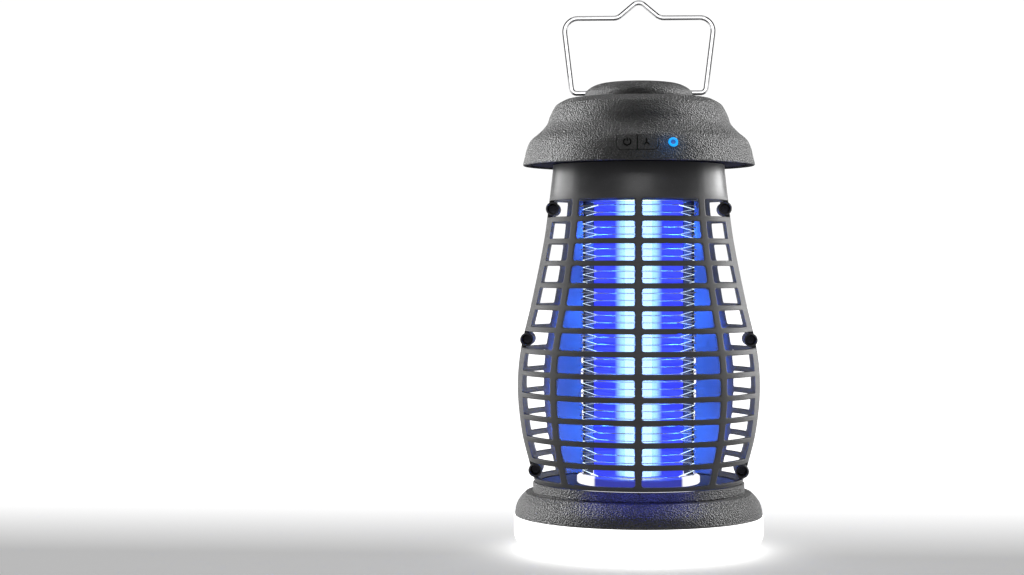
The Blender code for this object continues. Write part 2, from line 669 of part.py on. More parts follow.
def build_dome():
    line = [(9.4 * MM, 236.1 * MM), (13.7 * MM, 235.9 * MM), (18.9 * MM, 235.3 * MM),
            (22.0 * MM, 234.4 * MM), (24.5 * MM, 233.1 * MM), (26.6 * MM, 231.3 * MM),
            (27.3 * MM, 229.6 * MM), (27.5 * MM, DOME_BOTTOM)]
    inner = inset(line, DOME_WALL)[2:6:2] + [(25.3 * MM, DOME_BOTTOM)]
    profile = [(0.0, 236.2 * MM)] + line + inner[::-1] + [(0.0, 236.2 * MM - DOME_WALL)]
    dome = turned("crown_cap", profile, GRAINED_BLACK, 28)
    combine(dome, rod("bail_bore", BAIL_BORE, (-40 * MM, 0, BAIL_AXIS), (40 * MM, 0, BAIL_AXIS)))
    for name, side in (("bail_saddle_left", -1), ("bail_saddle_right", 1)):
        low = min(side * 14 * MM, side * 22 * MM)
        saddle = block(name, (low, -4 * MM, DOME_BOTTOM), (low + 8 * MM, 4 * MM, 231.0 * MM), STEEL)
        combine(saddle, rod(f"{name}_groove", BAIL_BORE, (low - 2 * MM, 0, BAIL_AXIS),
                            (low + 10 * MM, 0, BAIL_AXIS)))


def rounded_path(corners, radii, steps):
    """Points along straight runs joined by arcs, in a plane."""
    points = [Vector(corners[0])]
    for index, radius in enumerate(radii, start=1):
        corner = Vector(corners[index])
        back = (Vector(corners[index - 1]) - corner).normalized()
        ahead = (Vector(corners[index + 1]) - corner).normalized()
        half = back.angle(ahead) / 2.0
        reach = radius / math.tan(half)
        middle = corner + (back + ahead).normalized() * (radius / math.sin(half))
        start = corner + back * reach - middle
        end = corner + ahead * reach - middle
        turn = start.angle_signed(end)
        for step in range(steps + 1):
            points.append(middle + Matrix.Rotation(-turn * step / steps, 2) @ start)
    points.append(Vector(corners[-1]))
    return points


def wire(name, points, radius, material, resolution):
    """Round bar along points given relative to the object's origin, with flat closed ends."""
    curve = bpy.data.curves.new(name, "CURVE")
    curve.dimensions = "3D"
    curve.bevel_depth = radius
    curve.bevel_resolution = resolution
    curve.use_fill_caps = True
    spline = curve.splines.new("POLY")
    spline.points.add(len(points) - 1)
    for target, point in zip(spline.points, points):
        target.co = (*point, 1.0)
    return place(name, curve, material)


def build_handle():
    right = [(16.0, 0.0), (33.6, 0.0), (38.2, 37.8), (10.6, 37.8)]
    corners = right + [(0.0, 46.7)] + [(-x, z) for x, z in reversed(right)]
    radii = [2.8, 6.7, 6.0, 4.0, 6.0, 6.7, 2.8]
    flat = rounded_path([(x * MM, z * MM) for x, z in corners], [radius * MM for radius in radii], 4)
    handle = wire("carry_handle", [(point.x, 0.0, point.y) for point in flat], BAIL_WIRE, CHROME, 3)
    handle.location = (0.0, 0.0, BAIL_AXIS)


# ---------------------------------------------------------------- lamp and grid

def build_holder(name, levels, pocket_down):
    """Insulating disc with a pocket for the tube's end and blind holes for the four posts."""
    low, high = levels
    holder = turned(name, [(0.0, high), (HOLDER_RADIUS, high), (HOLDER_RADIUS, low), (0.0, low)],
                    HOLDER_DARK, ROUND_STEPS)
    start = low - 1 * MM if pocket_down else low + HOLDER_FLOOR
    end = high - HOLDER_FLOOR if pocket_down else high + 1 * MM
    combine(holder, rod(f"{name}_pocket", TUBE_RADIUS + GAP, (0, 0, start), (0, 0, end), segments=ROUND_STEPS))
    for index in range(4):
        spot = on_circle(POST_CIRCLE, 90 * index)
        combine(holder, rod(f"{name}_post_hole_{index}", POST_RADIUS + GAP, spot + Vector((0, 0, start)),
                            spot + Vector((0, 0, end)), segments=TINY_STEPS))


def build_lamp():
    build_holder("lower_lamp_holder", HOLDER_LOW, False)
    build_holder("upper_lamp_holder", HOLDER_HIGH, True)
    start = HOLDER_LOW[0] + HOLDER_FLOOR + GAP
    end = HOLDER_HIGH[1] - HOLDER_FLOOR - GAP
    turned("uv_tube", [(0.0, end), (TUBE_RADIUS - 1 * MM, end), (TUBE_RADIUS, end - 1 * MM),
                       (TUBE_RADIUS, start + 1 * MM), (TUBE_RADIUS - 1 * MM, start), (0.0, start)],
           TUBE_GLASS, ROUND_STEPS)
    low = HOLDER_LOW[1] + GAP
    high = HOLDER_HIGH[0] - GAP
    turned("lamp_sleeve", [(SLEEVE_RADIUS, high), (SLEEVE_RADIUS, low), (SLEEVE_RADIUS - SLEEVE_WALL, low),
                           (SLEEVE_RADIUS - SLEEVE_WALL, high)], SLEEVE_BLUE, ROUND_STEPS)
    stem_low = HOLDER_HIGH[1] + GAP
    stem_high = HAT_BOTTOM - GAP
    turned("lamp_stem", [(STEM_RADIUS, stem_high), (STEM_RADIUS, stem_low + 2 * MM),
                         (STEM_RADIUS + 4 * MM, stem_low + 2 * MM), (STEM_RADIUS + 4 * MM, stem_low),
                         (9.0 * MM, stem_low), (9.0 * MM, stem_high)], HOLDER_DARK, ROUND_STEPS)
    for index in range(4):
        spot = on_circle(POST_CIRCLE, 90 * index)
        rod(f"grid_post_{index + 1}", POST_RADIUS, spot + Vector((0, 0, start)), spot + Vector((0, 0, end)),
            HOLDER_DARK, TINY_STEPS)


def build_grid_wire(name, lift):
    """One of two windings: level turns that step up to the next turn behind the rear post."""
    points = []
    for turn in range(GRID_TURNS):
        level = GRID_START + lift + GRID_PITCH * turn
        for step in range(GRID_POINTS_PER_TURN):
            rising = step == GRID_POINTS_PER_TURN - 1
            height = level + GRID_PITCH / 2.0 if rising else level
            angle = 135.0 + 360.0 * step / GRID_POINTS_PER_TURN
            points.append(on_circle(GRID_RADIUS, angle, height))
    wire(name, points[:-1], GRID_WIRE, STEEL, 0)


# ---------------------------------------------------------------- electronics

def boxed(name, corners, material=None):
    """Block between two corners given in millimetres."""
    low, high = (Vector(corner) * MM for corner in corners)
    return block(name, low, high, material)


def build_electronics():
    start = CELL_CENTRE - Vector((CELL_LENGTH / 2, 0, 0))
    end = CELL_CENTRE + Vector((CELL_LENGTH / 2, 0, 0))
    rod("battery_cell", CELL_RADIUS, start, end, CELL_WRAP)
    cradle = boxed("battery_cradle", CRADLE_BOX, TRAY_BLACK)
    combine(cradle, rod("cradle_groove", CELL_RADIUS + GAP, start - Vector((0.3 * MM, 0, 0)),
                        end + Vector((0.3 * MM, 0, 0))))
    boxed("control_board", CONTROL_BOARD_BOX, BOARD_GREEN)
    boxed("hv_module", HV_MODULE_BOX, POTTING)
    boxed("charge_board", CHARGE_BOARD_BOX, BOARD_GREEN)
    socket = boxed("usb_socket", SOCKET_BOX, STEEL)
    combine(socket, boxed("usb_socket_mouth", SOCKET_MOUTH_BOX))


# ---------------------------------------------------------------- moving groups

BASE_PIECES = ("base_", "lantern_", "led_", "insect_", "rubber_", "contact_")


def hang_on(name, spot, items):
    """Empty on a joint's axis that carries the pieces which move together."""
    pivot = bpy.data.objects.new(name, None)
    PARTS.objects.link(pivot)
    pivot.location = spot
    for item in items:
        item.parent = pivot
        item.matrix_parent_inverse = Matrix.Translation(-Vector(spot))
    return pivot


def group_moving_pieces():
    parts = bpy.data.objects
    hang_on("power_press_axis", control_frame((POWER_EDGES[0] + POWER_EDGES[1]) / 2.0), [parts["power_button"]])
    hang_on("mode_press_axis", control_frame((MODE_EDGES[0] + MODE_EDGES[1]) / 2.0), [parts["mode_button"]])
    hang_on("cover_lift_axis", COVER_AXIS, [parts["usb_cover"]])
    lifted = [item for item in PARTS.objects if item.parent is None and not item.name.startswith(BASE_PIECES)]
    hang_on("body_lift_axis", Vector((0.0, 0.0, GUARD_BOTTOM)), lifted)


build_base_ring()
build_diffuser()
build_led_board()
build_tray()
build_guard()
build_hat_shell()
build_plate()
build_controls()
build_port_cover()
build_dome()
build_handle()
build_lamp()
build_grid_wire("grid_wire_live", 0.0)
build_grid_wire("grid_wire_neutral", GRID_PITCH / 2.0)
build_electronics()
group_moving_pieces()
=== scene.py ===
"""Looks of the electric bug zapper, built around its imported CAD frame.  Metres, +Z up, front at -Y."""

import json
import math

import bmesh
import bpy
from mathutils import Matrix, Vector

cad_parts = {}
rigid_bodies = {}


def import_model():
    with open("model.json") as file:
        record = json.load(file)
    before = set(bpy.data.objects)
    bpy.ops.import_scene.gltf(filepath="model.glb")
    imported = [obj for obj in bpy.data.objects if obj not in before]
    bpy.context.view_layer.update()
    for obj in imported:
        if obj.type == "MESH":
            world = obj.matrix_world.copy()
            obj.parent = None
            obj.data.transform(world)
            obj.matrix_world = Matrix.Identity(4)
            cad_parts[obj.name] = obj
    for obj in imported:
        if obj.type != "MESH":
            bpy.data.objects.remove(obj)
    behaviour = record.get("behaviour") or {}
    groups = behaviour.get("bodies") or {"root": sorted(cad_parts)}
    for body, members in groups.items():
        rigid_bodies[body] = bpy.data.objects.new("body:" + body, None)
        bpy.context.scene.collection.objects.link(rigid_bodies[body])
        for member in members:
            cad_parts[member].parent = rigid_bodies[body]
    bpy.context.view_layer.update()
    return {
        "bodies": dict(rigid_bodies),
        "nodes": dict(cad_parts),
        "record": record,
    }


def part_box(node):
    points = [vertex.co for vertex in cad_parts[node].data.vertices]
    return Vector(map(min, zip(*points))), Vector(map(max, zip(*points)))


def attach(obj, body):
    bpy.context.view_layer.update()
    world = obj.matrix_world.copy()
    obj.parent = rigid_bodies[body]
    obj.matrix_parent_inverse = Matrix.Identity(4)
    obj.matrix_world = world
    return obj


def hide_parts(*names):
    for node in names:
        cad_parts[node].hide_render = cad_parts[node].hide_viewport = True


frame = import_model()

MM = 0.001
SEAM_GAP = 0.15 * MM

# ------------------------------------------------------------------ node helpers


class Tree:
    """Small helper that adds and links shader nodes of one material."""

    def __init__(self, name):
        self.material = bpy.data.materials.new(name)
        self.material.use_nodes = True
        self.tree = self.material.node_tree
        self.shader = self.tree.nodes["Principled BSDF"]
        self.out = self.tree.nodes["Material Output"]

    def add(self, kind, **inputs):
        node = self.tree.nodes.new(kind)
        for key, value in inputs.items():
            name = key.replace("_", " ")
            if name in node.inputs:
                self.feed(node.inputs[name], value)
            else:
                setattr(node, key, value)
        return node

    def feed(self, socket, value):
        if isinstance(value, bpy.types.NodeSocket):
            self.tree.links.new(value, socket)
        else:
            socket.default_value = value

    def set(self, **inputs):
        for key, value in inputs.items():
            self.feed(self.shader.inputs[key.replace("_", " ")], value)

    def place(self):
        return self.add("ShaderNodeTexCoord").outputs["Object"]

    def noise(self, scale, detail=3.0, vector=None, roughness=0.55):
        node = self.add("ShaderNodeTexNoise", Scale=scale, Detail=detail, Roughness=roughness)
        self.feed(node.inputs["Vector"], vector or self.place())
        return node.outputs["Fac"]

    def ramp(self, factor, stops):
        node = self.add("ShaderNodeValToRGB")
        self.feed(node.inputs["Fac"], factor)
        elements = node.color_ramp.elements
        while len(elements) < len(stops):
            elements.new(0.5)
        for element, (position, colour) in zip(elements, stops):
            element.position = position
            element.color = (*colour, 1.0) if len(colour) == 3 else colour
        return node.outputs["Color"]

    def span(self, value, low, high, start=0.0, end=1.0):
        node = self.add("ShaderNodeMapRange")
        for socket, number in zip(node.inputs[1:5], (start, end, low, high)):
            socket.default_value = number
        self.feed(node.inputs["Value"], value)
        return node.outputs["Result"]

    def math(self, operation, first, second):
        node = self.add("ShaderNodeMath", operation=operation)
        self.feed(node.inputs[0], first)
        self.feed(node.inputs[1], second)
        return node.outputs["Value"]

    def multiply(self, first, second):
        node = self.add("ShaderNodeMix", data_type="RGBA", blend_type="MULTIPLY")
        for socket, value in zip((node.inputs["Factor"], *node.inputs[6:8]), (1.0, first, second)):
            self.feed(socket, value)
        return node.outputs[2]

    def split(self):
        return self.add("ShaderNodeSeparateXYZ", Vector=self.place()).outputs

    def bump(self, height, strength, distance):
        return self.add("ShaderNodeBump", Strength=strength, Distance=distance, Height=height).outputs["Normal"]

    def surface(self, node):
        self.tree.links.new(node.outputs["Shader"], self.out.inputs["Surface"])


def grey(value, tint=0.0):
    return (value, value, value * (1.0 + tint))


# ------------------------------------------------------------------ materials


def grained_plastic(name, base, grain=1.0):
    """Moulded black plastic with a pebbled spark-eroded grain, a little paler on rubbed edges."""
    t = Tree(name)
    cells = t.add("ShaderNodeTexVoronoi", Scale=1450.0, feature="SMOOTH_F1")
    warp = t.add("ShaderNodeVectorMath", operation="ADD")
    t.feed(warp.inputs[0], t.place())
    wobble = t.add("ShaderNodeTexNoise", Scale=1100.0, Detail=2.0)
    t.feed(wobble.inputs["Vector"], t.place())
    small = t.add("ShaderNodeVectorMath", operation="SCALE", Scale=0.0004)
    t.feed(small.inputs[0], wobble.outputs["Color"])
    t.feed(warp.inputs[1], small.outputs["Vector"])
    t.feed(cells.inputs["Vector"], warp.outputs["Vector"])
    fine = t.noise(2600.0, 2.0)
    height = t.math("ADD", cells.outputs["Distance"], t.math("MULTIPLY", fine, 0.35))
    cloud = t.noise(60.0, 4.0)
    tone = t.ramp(cells.outputs["Distance"], [(0.1, grey(base * 0.5)), (0.6, grey(base * 1.5))])
    wide = t.ramp(cloud, [(0.3, grey(0.86)), (0.75, grey(1.1))])
    edge = t.add("ShaderNodeNewGeometry").outputs["Pointiness"]
    rubbed = t.add("ShaderNodeMix", data_type="RGBA")
    t.feed(rubbed.inputs["Factor"], t.span(edge, 0.0, 0.35, 0.515, 0.58))
    t.feed(rubbed.inputs[6], t.multiply(tone, wide))
    rubbed.inputs[7].default_value = (*grey(base * 2.0), 1.0)
    t.set(Base_Color=rubbed.outputs[2], Roughness=t.span(cloud, 0.44, 0.56), Specular_IOR_Level=0.5,
          Normal=t.bump(height, 0.85 * grain, 0.0011))
    return t.material


def satin_plastic(name, base, tint=0.06, roughness=0.3, matte_below=0.0):
    """Smooth moulded plastic: faint flow marks, fine hairline scratches and dust.

    Below a height the mould is blasted, so the slotted part is duller than the neck.
    """
    t = Tree(name)
    flow = t.noise(90.0, 3.0)
    stretch = t.add("ShaderNodeMapping", Scale=(60.0, 60.0, 900.0))
    t.feed(stretch.inputs["Vector"], t.place())
    lines = t.noise(1.0, 2.0, stretch.outputs["Vector"])
    dust = t.ramp(t.noise(1500.0, 2.0), [(0.62, grey(base, tint)), (0.8, grey(base * 1.7, tint))])
    shade = t.multiply(dust, t.ramp(flow, [(0.3, grey(0.85)), (0.7, grey(1.12))]))
    height = t.math("ADD", t.math("MULTIPLY", lines, 0.3), t.noise(420.0, 2.0))
    dull = t.span(t.split()["Z"], 0.24, 0.0, matte_below - 0.002, matte_below + 0.004)
    rough = t.math("ADD", t.span(lines, roughness - 0.04, roughness + 0.09), dull)
    t.set(Base_Color=shade, Roughness=rough, Specular_IOR_Level=0.5,
          Normal=t.bump(height, 0.1, 0.0001))
    return t.material


def glowing(name, colour, strength, variation=0.08, scale=60.0, roughness=0.3, base=(0.8, 0.8, 0.8)):
    """Light with faint cloudiness over a glossy skin: translucent plastic or glass lit from inside, and painted
    glints on the bare wire keepers.
    """
    t = Tree(name)
    cloud = t.noise(scale, 3.0)
    low = tuple(channel * (1.0 - variation) for channel in colour)
    high = tuple(min(1.0, channel * (1.0 + variation)) for channel in colour)
    t.set(Base_Color=t.ramp(cloud, [(0.3, tuple(v * 0.95 for v in base)), (0.7, base)]), Roughness=roughness,
          Emission_Color=t.ramp(cloud, [(0.3, low), (0.7, high)]), Emission_Strength=strength,
          Normal=t.bump(t.noise(700.0, 2.0), 0.05, 0.0001))
    return t.material


def lit_sleeve(name):
    """Blue filter sleeve: lets the white tube show through as a pale column and glows blue itself."""
    t = Tree(name)
    cloud = t.noise(120.0, 2.0)
    glow = t.add("ShaderNodeEmission", Strength=1.25)
    t.feed(glow.inputs["Color"], t.ramp(cloud, [(0.3, (0.07, 0.088, 0.9)), (0.7, (0.08, 0.1, 0.96))]))
    clear = t.add("ShaderNodeBsdfTransparent")
    clear.inputs["Color"].default_value = (0.2, 0.29, 0.9, 1.0)
    mix = t.add("ShaderNodeMixShader")
    mix.inputs["Fac"].default_value = 0.55
    t.feed(mix.inputs[1], glow.outputs["Emission"])
    t.feed(mix.inputs[2], clear.outputs["BSDF"])
    t.surface(mix)
    return t.material


def painted_glow_tray(name):
    """Dark tray with a soft-edged circle of white light painted on as emission, standing for the lantern below
    shining through its floor.
    """
    t = Tree(name)
    split = t.split()
    square = t.math("ADD", t.math("MULTIPLY", split["X"], split["X"]),
                    t.math("MULTIPLY", split["Y"], split["Y"]))
    cloud = t.noise(120.0, 3.0)
    t.set(Base_Color=t.ramp(cloud, [(0.3, grey(0.1)), (0.7, grey(0.13))]), Roughness=0.6,
          Emission_Color=t.ramp(cloud, [(0.3, grey(0.94)), (0.7, grey(1.0))]),
          # painted light: white emission inside about 33 mm radius, fading out by 38 mm
          Emission_Strength=t.span(t.math("POWER", square, 0.5), 1.0, 0.0, 0.033, 0.038),
          Normal=t.bump(t.noise(700.0, 2.0), 0.05, 0.0001))
    return t.material


def painted_glow_holder(name):
    """Dark holder disc with painted light: blue emission under the lamp, and white emission at its two ends."""
    t = Tree(name)
    across = t.math("ABSOLUTE", t.split()["X"], 0.0)
    cloud = t.noise(300.0, 3.0)
    t.set(Base_Color=t.ramp(cloud, [(0.3, (0.035, 0.035, 0.055)), (0.7, (0.04, 0.04, 0.06))]), Roughness=0.5,
          Emission_Color=t.ramp(t.span(across, 0.0, 1.0, 0.0212, 0.0222),
                                [(0.0, (0.032, 0.04, 0.38)), (1.0, (1.0, 1.0, 1.0))]),
          Emission_Strength=t.span(cloud, 0.94, 1.06), Normal=t.bump(t.noise(700.0, 2.0), 0.05, 0.0001))
    return t.material


def lamp_haze(name):
    """Faint light that only adds to what is seen through it."""
    t = Tree(name)
    glow = t.add("ShaderNodeEmission", Strength=t.span(t.noise(150.0, 2.0), 0.57, 0.63))
    glow.inputs["Color"].default_value = (0.72, 1.0, 0.3, 1.0)
    clear = t.add("ShaderNodeBsdfTransparent")
    both = t.add("ShaderNodeAddShader")
    t.feed(both.inputs[0], glow.outputs["Emission"])
    t.feed(both.inputs[1], clear.outputs["BSDF"])
    t.surface(both)
    return t.material


def metal(name, colour, roughness, brushed=False, edge=1.0):
    """Bare or plated metal with a fine grain; a low edge darkens what it reflects at grazing angles."""
    t = Tree(name)
    t.set(Specular_Tint=(edge, edge, edge, 1.0))
    source = t.place()
    if brushed:
        stretch = t.add("ShaderNodeMapping", Scale=(1.0, 1.0, 12.0))
        t.feed(stretch.inputs["Vector"], source)
        source = stretch.outputs["Vector"]
    grain = t.noise(900.0, 3.0, source)
    dark = tuple(channel * 0.82 for channel in colour)
    t.set(Base_Color=t.ramp(grain, [(0.35, dark), (0.6, colour)]), Metallic=1.0,
          Roughness=t.span(grain, roughness * 0.7, roughness * 1.4), Normal=t.bump(grain, 0.06, 0.00005))
    return t.material


def mottled(name, dark, light, roughness, scale=300.0, bump=0.1, shine=0.5):
    """Plain technical surface with a mottled tone: boards, resin, rubber, insulators."""
    t = Tree(name)
    cloud = t.noise(scale, 4.0)
    t.set(Base_Color=t.ramp(cloud, [(0.35, dark), (0.65, light)]), Specular_IOR_Level=shine,
          Roughness=t.span(cloud, roughness * 0.85, min(1.0, roughness * 1.15)),
          Normal=t.bump(t.noise(scale * 4.0, 2.0), bump, 0.0002))
    return t.material


GRAIN = grained_plastic("grained_black_plastic", 0.018)
SATIN = satin_plastic("satin_black_plastic", 0.038, matte_below=0.177)
LANTERN = glowing("lantern_white_plastic", (1.0, 1.0, 1.0), 1.5, 0.02, 90.0)
TUBE = glowing("uv_tube_glass", (1.0, 0.82, 0.5), 2.9, 0.02, 200.0, 0.1, (0.6, 0.7, 0.8))
SLEEVE = lit_sleeve("blue_lamp_sleeve")
CHROME = metal("chromed_wire", (0.86, 0.86, 0.87), 0.05, edge=0.1)
DARK_STEEL = mottled("blackened_steel", (0.045, 0.045, 0.08), (0.07, 0.07, 0.12), 0.45, 900.0)
STEEL = metal("bright_steel", (0.72, 0.72, 0.73), 0.25, True)
WIRE_STEEL = metal("grid_steel", (0.7, 0.7, 0.72), 0.4)
# wire keepers: grey wire with glints of the lamp's light painted on as emission
PAINTED_GLINT_WIRE = glowing("painted_glint_wire", (0.7, 0.9, 1.0), 1.5, 0.2, 700.0, 0.3, (0.5, 0.5, 0.5))
PAINTED_GLOW_HOLDER = painted_glow_holder("painted_glow_insulator")
HOLDER = mottled("dark_insulator", (0.035, 0.035, 0.04), (0.055, 0.055, 0.06), 0.4)
# black plastic darkened to near black and dulled: painted shade under the brim
PAINTED_SHADE_UNDERSIDE = mottled("painted_shade_under_plastic", (0.004, 0.004, 0.01), (0.008, 0.008, 0.018), 0.95, shine=0.03)
# the tray's white is painted light: a dark grey tray under an emission circle
TRAY_PAINTED_GLOW = painted_glow_tray("tray_white_plastic")
TRAY = mottled("tray_black_plastic", (0.022, 0.022, 0.023), (0.035, 0.035, 0.036), 0.5)
BOARD = mottled("circuit_board", (0.01, 0.1, 0.04), (0.02, 0.2, 0.08), 0.4, 500.0)
WRAP = mottled("battery_wrap", (0.03, 0.14, 0.42), (0.05, 0.2, 0.52), 0.35, 150.0, 0.05)
RESIN = mottled("potting_resin", (0.015, 0.015, 0.018), (0.03, 0.03, 0.034), 0.35)
RUBBER = mottled("black_rubber", (0.018, 0.018, 0.018), (0.035, 0.035, 0.035), 0.8, 700.0, 0.3)
KEY = grained_plastic("button_black_plastic", 0.019, 0.7)
MARK = mottled("key_mark_black", (0.001, 0.001, 0.001), (0.003, 0.003, 0.003), 0.9, 900.0, shine=0.02)
AZURE = glowing("indicator_glow", (0.0, 0.34, 0.9), 1.3, 0.05, 900.0, 0.35, (0.01, 0.04, 0.12))
HAZE = lamp_haze("lamp_haze")
AZURE_DEEP = glowing("indicator_centre", (0.01, 0.12, 0.5), 0.75, 0.1, 900.0, 0.35, (0.01, 0.03, 0.1))
BRASS = metal("plated_contact", (0.83, 0.62, 0.28), 0.22)

SLOT_MATERIALS = {
    "grained_black_plastic": GRAIN, "satin_black_plastic": SATIN, "lantern_white_plastic": LANTERN,
    "uv_tube_glass": TUBE, "blue_lamp_sleeve": SLEEVE, "chromed_wire": CHROME, "bright_steel": STEEL,
    "dark_insulator": HOLDER, "blackened_steel": DARK_STEEL, "tray_black_plastic": TRAY,
    "tray_white_plastic": TRAY_PAINTED_GLOW,
    "circuit_board": BOARD, "battery_wrap": WRAP, "potting_resin": RESIN, "black_rubber": RUBBER,
    "button_black_plastic": KEY, "indicator_lens": AZURE, "plated_contact": BRASS,
}


def finish_cad_nodes():
    for part in frame["record"]["subparts"]:
        node = frame["nodes"][part["node"]]
        material = SLOT_MATERIALS[part["material_slot"]]
        # the plate under the brim takes the near-black painted shade instead of its satin plastic
        if part["node"] == "hat_base_plate":
            material = PAINTED_SHADE_UNDERSIDE
        node.data.materials.clear()
        node.data.materials.append(material)


# ------------------------------------------------------------------ mesh helpers


def piece(name, bm, material, body, replaces=(), sharp=35.0, recalc=True):
    """Turn a bmesh into a finished piece that rides on a body."""
    if recalc:
        bmesh.ops.recalc_face_normals(bm, faces=bm.faces)
    mesh = bpy.data.meshes.new(name)
    bm.to_mesh(mesh)
    bm.free()
    mesh.shade_smooth()
    mesh.set_sharp_from_angle(angle=math.radians(sharp))
    mesh.materials.append(material)
    item = bpy.data.objects.new(name, mesh)
    bpy.context.scene.collection.objects.link(item)
    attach(item, body)
    if replaces:
        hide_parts(*replaces)
    return item


def spline(points, steps=6):
    """Smooth line through (radius, height) points, Catmull-Rom with end points kept."""
    line = []
    for index in range(len(points) - 1):
        p0 = Vector(points[max(index - 1, 0)])
        p1 = Vector(points[index])
        p2 = Vector(points[index + 1])
        p3 = Vector(points[min(index + 2, len(points) - 1)])
        for step in range(steps):
            t = step / steps
            line.append(0.5 * ((2 * p1) + (p2 - p0) * t + (2 * p0 - 5 * p1 + 4 * p2 - p3) * t * t
                               + (3 * p1 - p0 - 3 * p2 + p3) * t ** 3))
    line.append(Vector(points[-1]))
    return [(point.x, point.y) for point in line]


def arc(centre, radius, start, end, steps):
    points = []
    for index in range(steps + 1):
        angle = math.radians(start + (end - start) * index / steps)
        points.append((centre[0] + radius * math.cos(angle), centre[1] + radius * math.sin(angle)))
    return points


def lathe(profile, steps=128, closed=True, bm=None):
    """Revolve a closed (radius, height) outline; points on the axis close the shape there."""
    bm = bm or bmesh.new()
    rings = []
    for radius, height in profile:
        if radius < 1e-7:
            rings.append([bm.verts.new((0.0, 0.0, height))])
            continue
        ring = []
        for index in range(steps):
            angle = 2.0 * math.pi * index / steps
            ring.append(bm.verts.new((radius * math.cos(angle), radius * math.sin(angle), height)))
        rings.append(ring)
    pairs = list(zip(rings, rings[1:]))
    if closed and len(rings[0]) > 1:
        pairs.append((rings[-1], rings[0]))
    for first, second in pairs:
        for index in range(steps):
            corners = [first[index % len(first)], first[(index + 1) % len(first)],
                       second[(index + 1) % len(second)], second[index % len(second)]]
            unique = list(dict.fromkeys(corners))
            if len(unique) > 2:
                bm.faces.new(unique)
    return bm


def circle(radius, step):
    """Points once round a circle, a whole number of degrees apart."""
    angles = [math.radians(degrees) for degrees in range(0, 360, step)]
    return [(radius * math.cos(angle), radius * math.sin(angle)) for angle in angles]


def bridge(bm, loops):
    """Bands of faces from each loop of vertices to the next."""
    for first, second in zip(loops, loops[1:]):
        for index in range(len(first)):
            following = (index + 1) % len(first)
            bm.faces.new((first[index], first[following], second[following], second[index]))


def loose(name, bm):
    """Object made from a bmesh, not yet in the scene."""
    mesh = bpy.data.meshes.new(name)
    bm.to_mesh(mesh)
    bm.free()
    return bpy.data.objects.new(name, mesh)


def cylinder(bm, outline, frame_matrix, steps=32):
    """Lathe an outline in a local frame whose Z is the axis."""
    part = lathe(outline, steps)
    bmesh.ops.transform(part, matrix=frame_matrix, verts=part.verts)
    mesh = bpy.data.meshes.new("part")
    bmesh.ops.recalc_face_normals(part, faces=part.faces)
    part.to_mesh(mesh)
    part.free()
    bm.from_mesh(mesh)
    bpy.data.meshes.remove(mesh)


def tube(name, points, radius, material, body, replaces=(), resolution=4, cyclic=False):
    """Round wire through points, as a mesh with welded ends."""
    curve = bpy.data.curves.new(name, "CURVE")
    curve.dimensions = "3D"
    curve.bevel_depth = radius
    curve.bevel_resolution = resolution
    curve.use_fill_caps = True
    line = curve.splines.new("POLY")
    line.points.add(len(points) - 1)
    line.use_cyclic_u = cyclic
    for target, point in zip(line.points, points):
        target.co = (*point, 1.0)
    guide = bpy.data.objects.new(name + "_guide", curve)
    bpy.context.scene.collection.objects.link(guide)
    bpy.context.view_layer.update()
    shape = bpy.data.meshes.new_from_object(guide.evaluated_get(bpy.context.evaluated_depsgraph_get()))
    bpy.data.objects.remove(guide)
    bm = bmesh.new()
    bm.from_mesh(shape)
    bpy.data.meshes.remove(shape)
    bmesh.ops.remove_doubles(bm, verts=bm.verts, dist=0.00001)
    return piece(name, bm, material, body, replaces, sharp=60.0)


# ------------------------------------------------------------------ guard

GUARD_LINE = ((34.7, 52.3), (44.0, 55.0), (60.0, 58.9), (81.0, 61.0), (100.0, 59.7),
              (128.0, 53.4), (156.0, 47.8), (176.8, 45.0), (194.3, 43.0))
SLOT_ROWS = 13
SLOT_PITCH = 10.9 * MM
SLOT_HEIGHT = 8.27 * MM
TOP_SLOT_CENTRE = 172.1 * MM
GUARD_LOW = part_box("cage_front")[0].z
GUARD_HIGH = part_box("cage_front")[1].z
GUARD_WALL = 2.5 * MM
CENTRE_RIB = 3.1 * MM
SIDE_RIB = 3.3 * MM
SEAM_STRIP = 3.5 * MM
FILLET = 0.38 * MM
CORNER = 1.3 * MM
BOSS_ROWS = (0, 6, 12)
BOSS_EDGE = 5.0 * MM
BOSS_RADIUS = 3.4 * MM
BOSS_MOUTH = 2.5 * MM
MOUTH_DEPTH = 9.0 * MM
FRONT_BOSS = 14.0 * MM
REAR_BOSS = 9.0 * MM
SEAM_ANGLE = math.radians(89.84)
FRONT_RIB = math.radians(42.5)
REAR_PANEL = (math.radians(30.0), math.radians(54.0))


def guard_radius(height):
    points = [(level * MM, radius * MM) for level, radius in GUARD_LINE]
    index = 0
    while index < len(points) - 2 and height > points[index + 1][0]:
        index += 1

    def slope(at):
        low = points[max(at - 1, 0)]
        high = points[min(at + 1, len(points) - 1)]
        return (high[1] - low[1]) / (high[0] - low[0])

    (z0, r0), (z1, r1) = points[index], points[index + 1]
    span = z1 - z0
    t = (height - z0) / span
    return (r0 * (1 + 2 * t) * (1 - t) ** 2 + slope(index) * span * t * (1 - t) ** 2
            + r1 * t * t * (3 - 2 * t) - slope(index + 1) * span * t * t * (1 - t))


def on_wall(angle, height, depth):
    """Point of the guard's wall; the angle is from the front, the depth 0 outside to 1 inside."""
    radius = guard_radius(height) - depth * GUARD_WALL
    return Vector((radius * math.sin(angle), -radius * math.cos(angle), height))


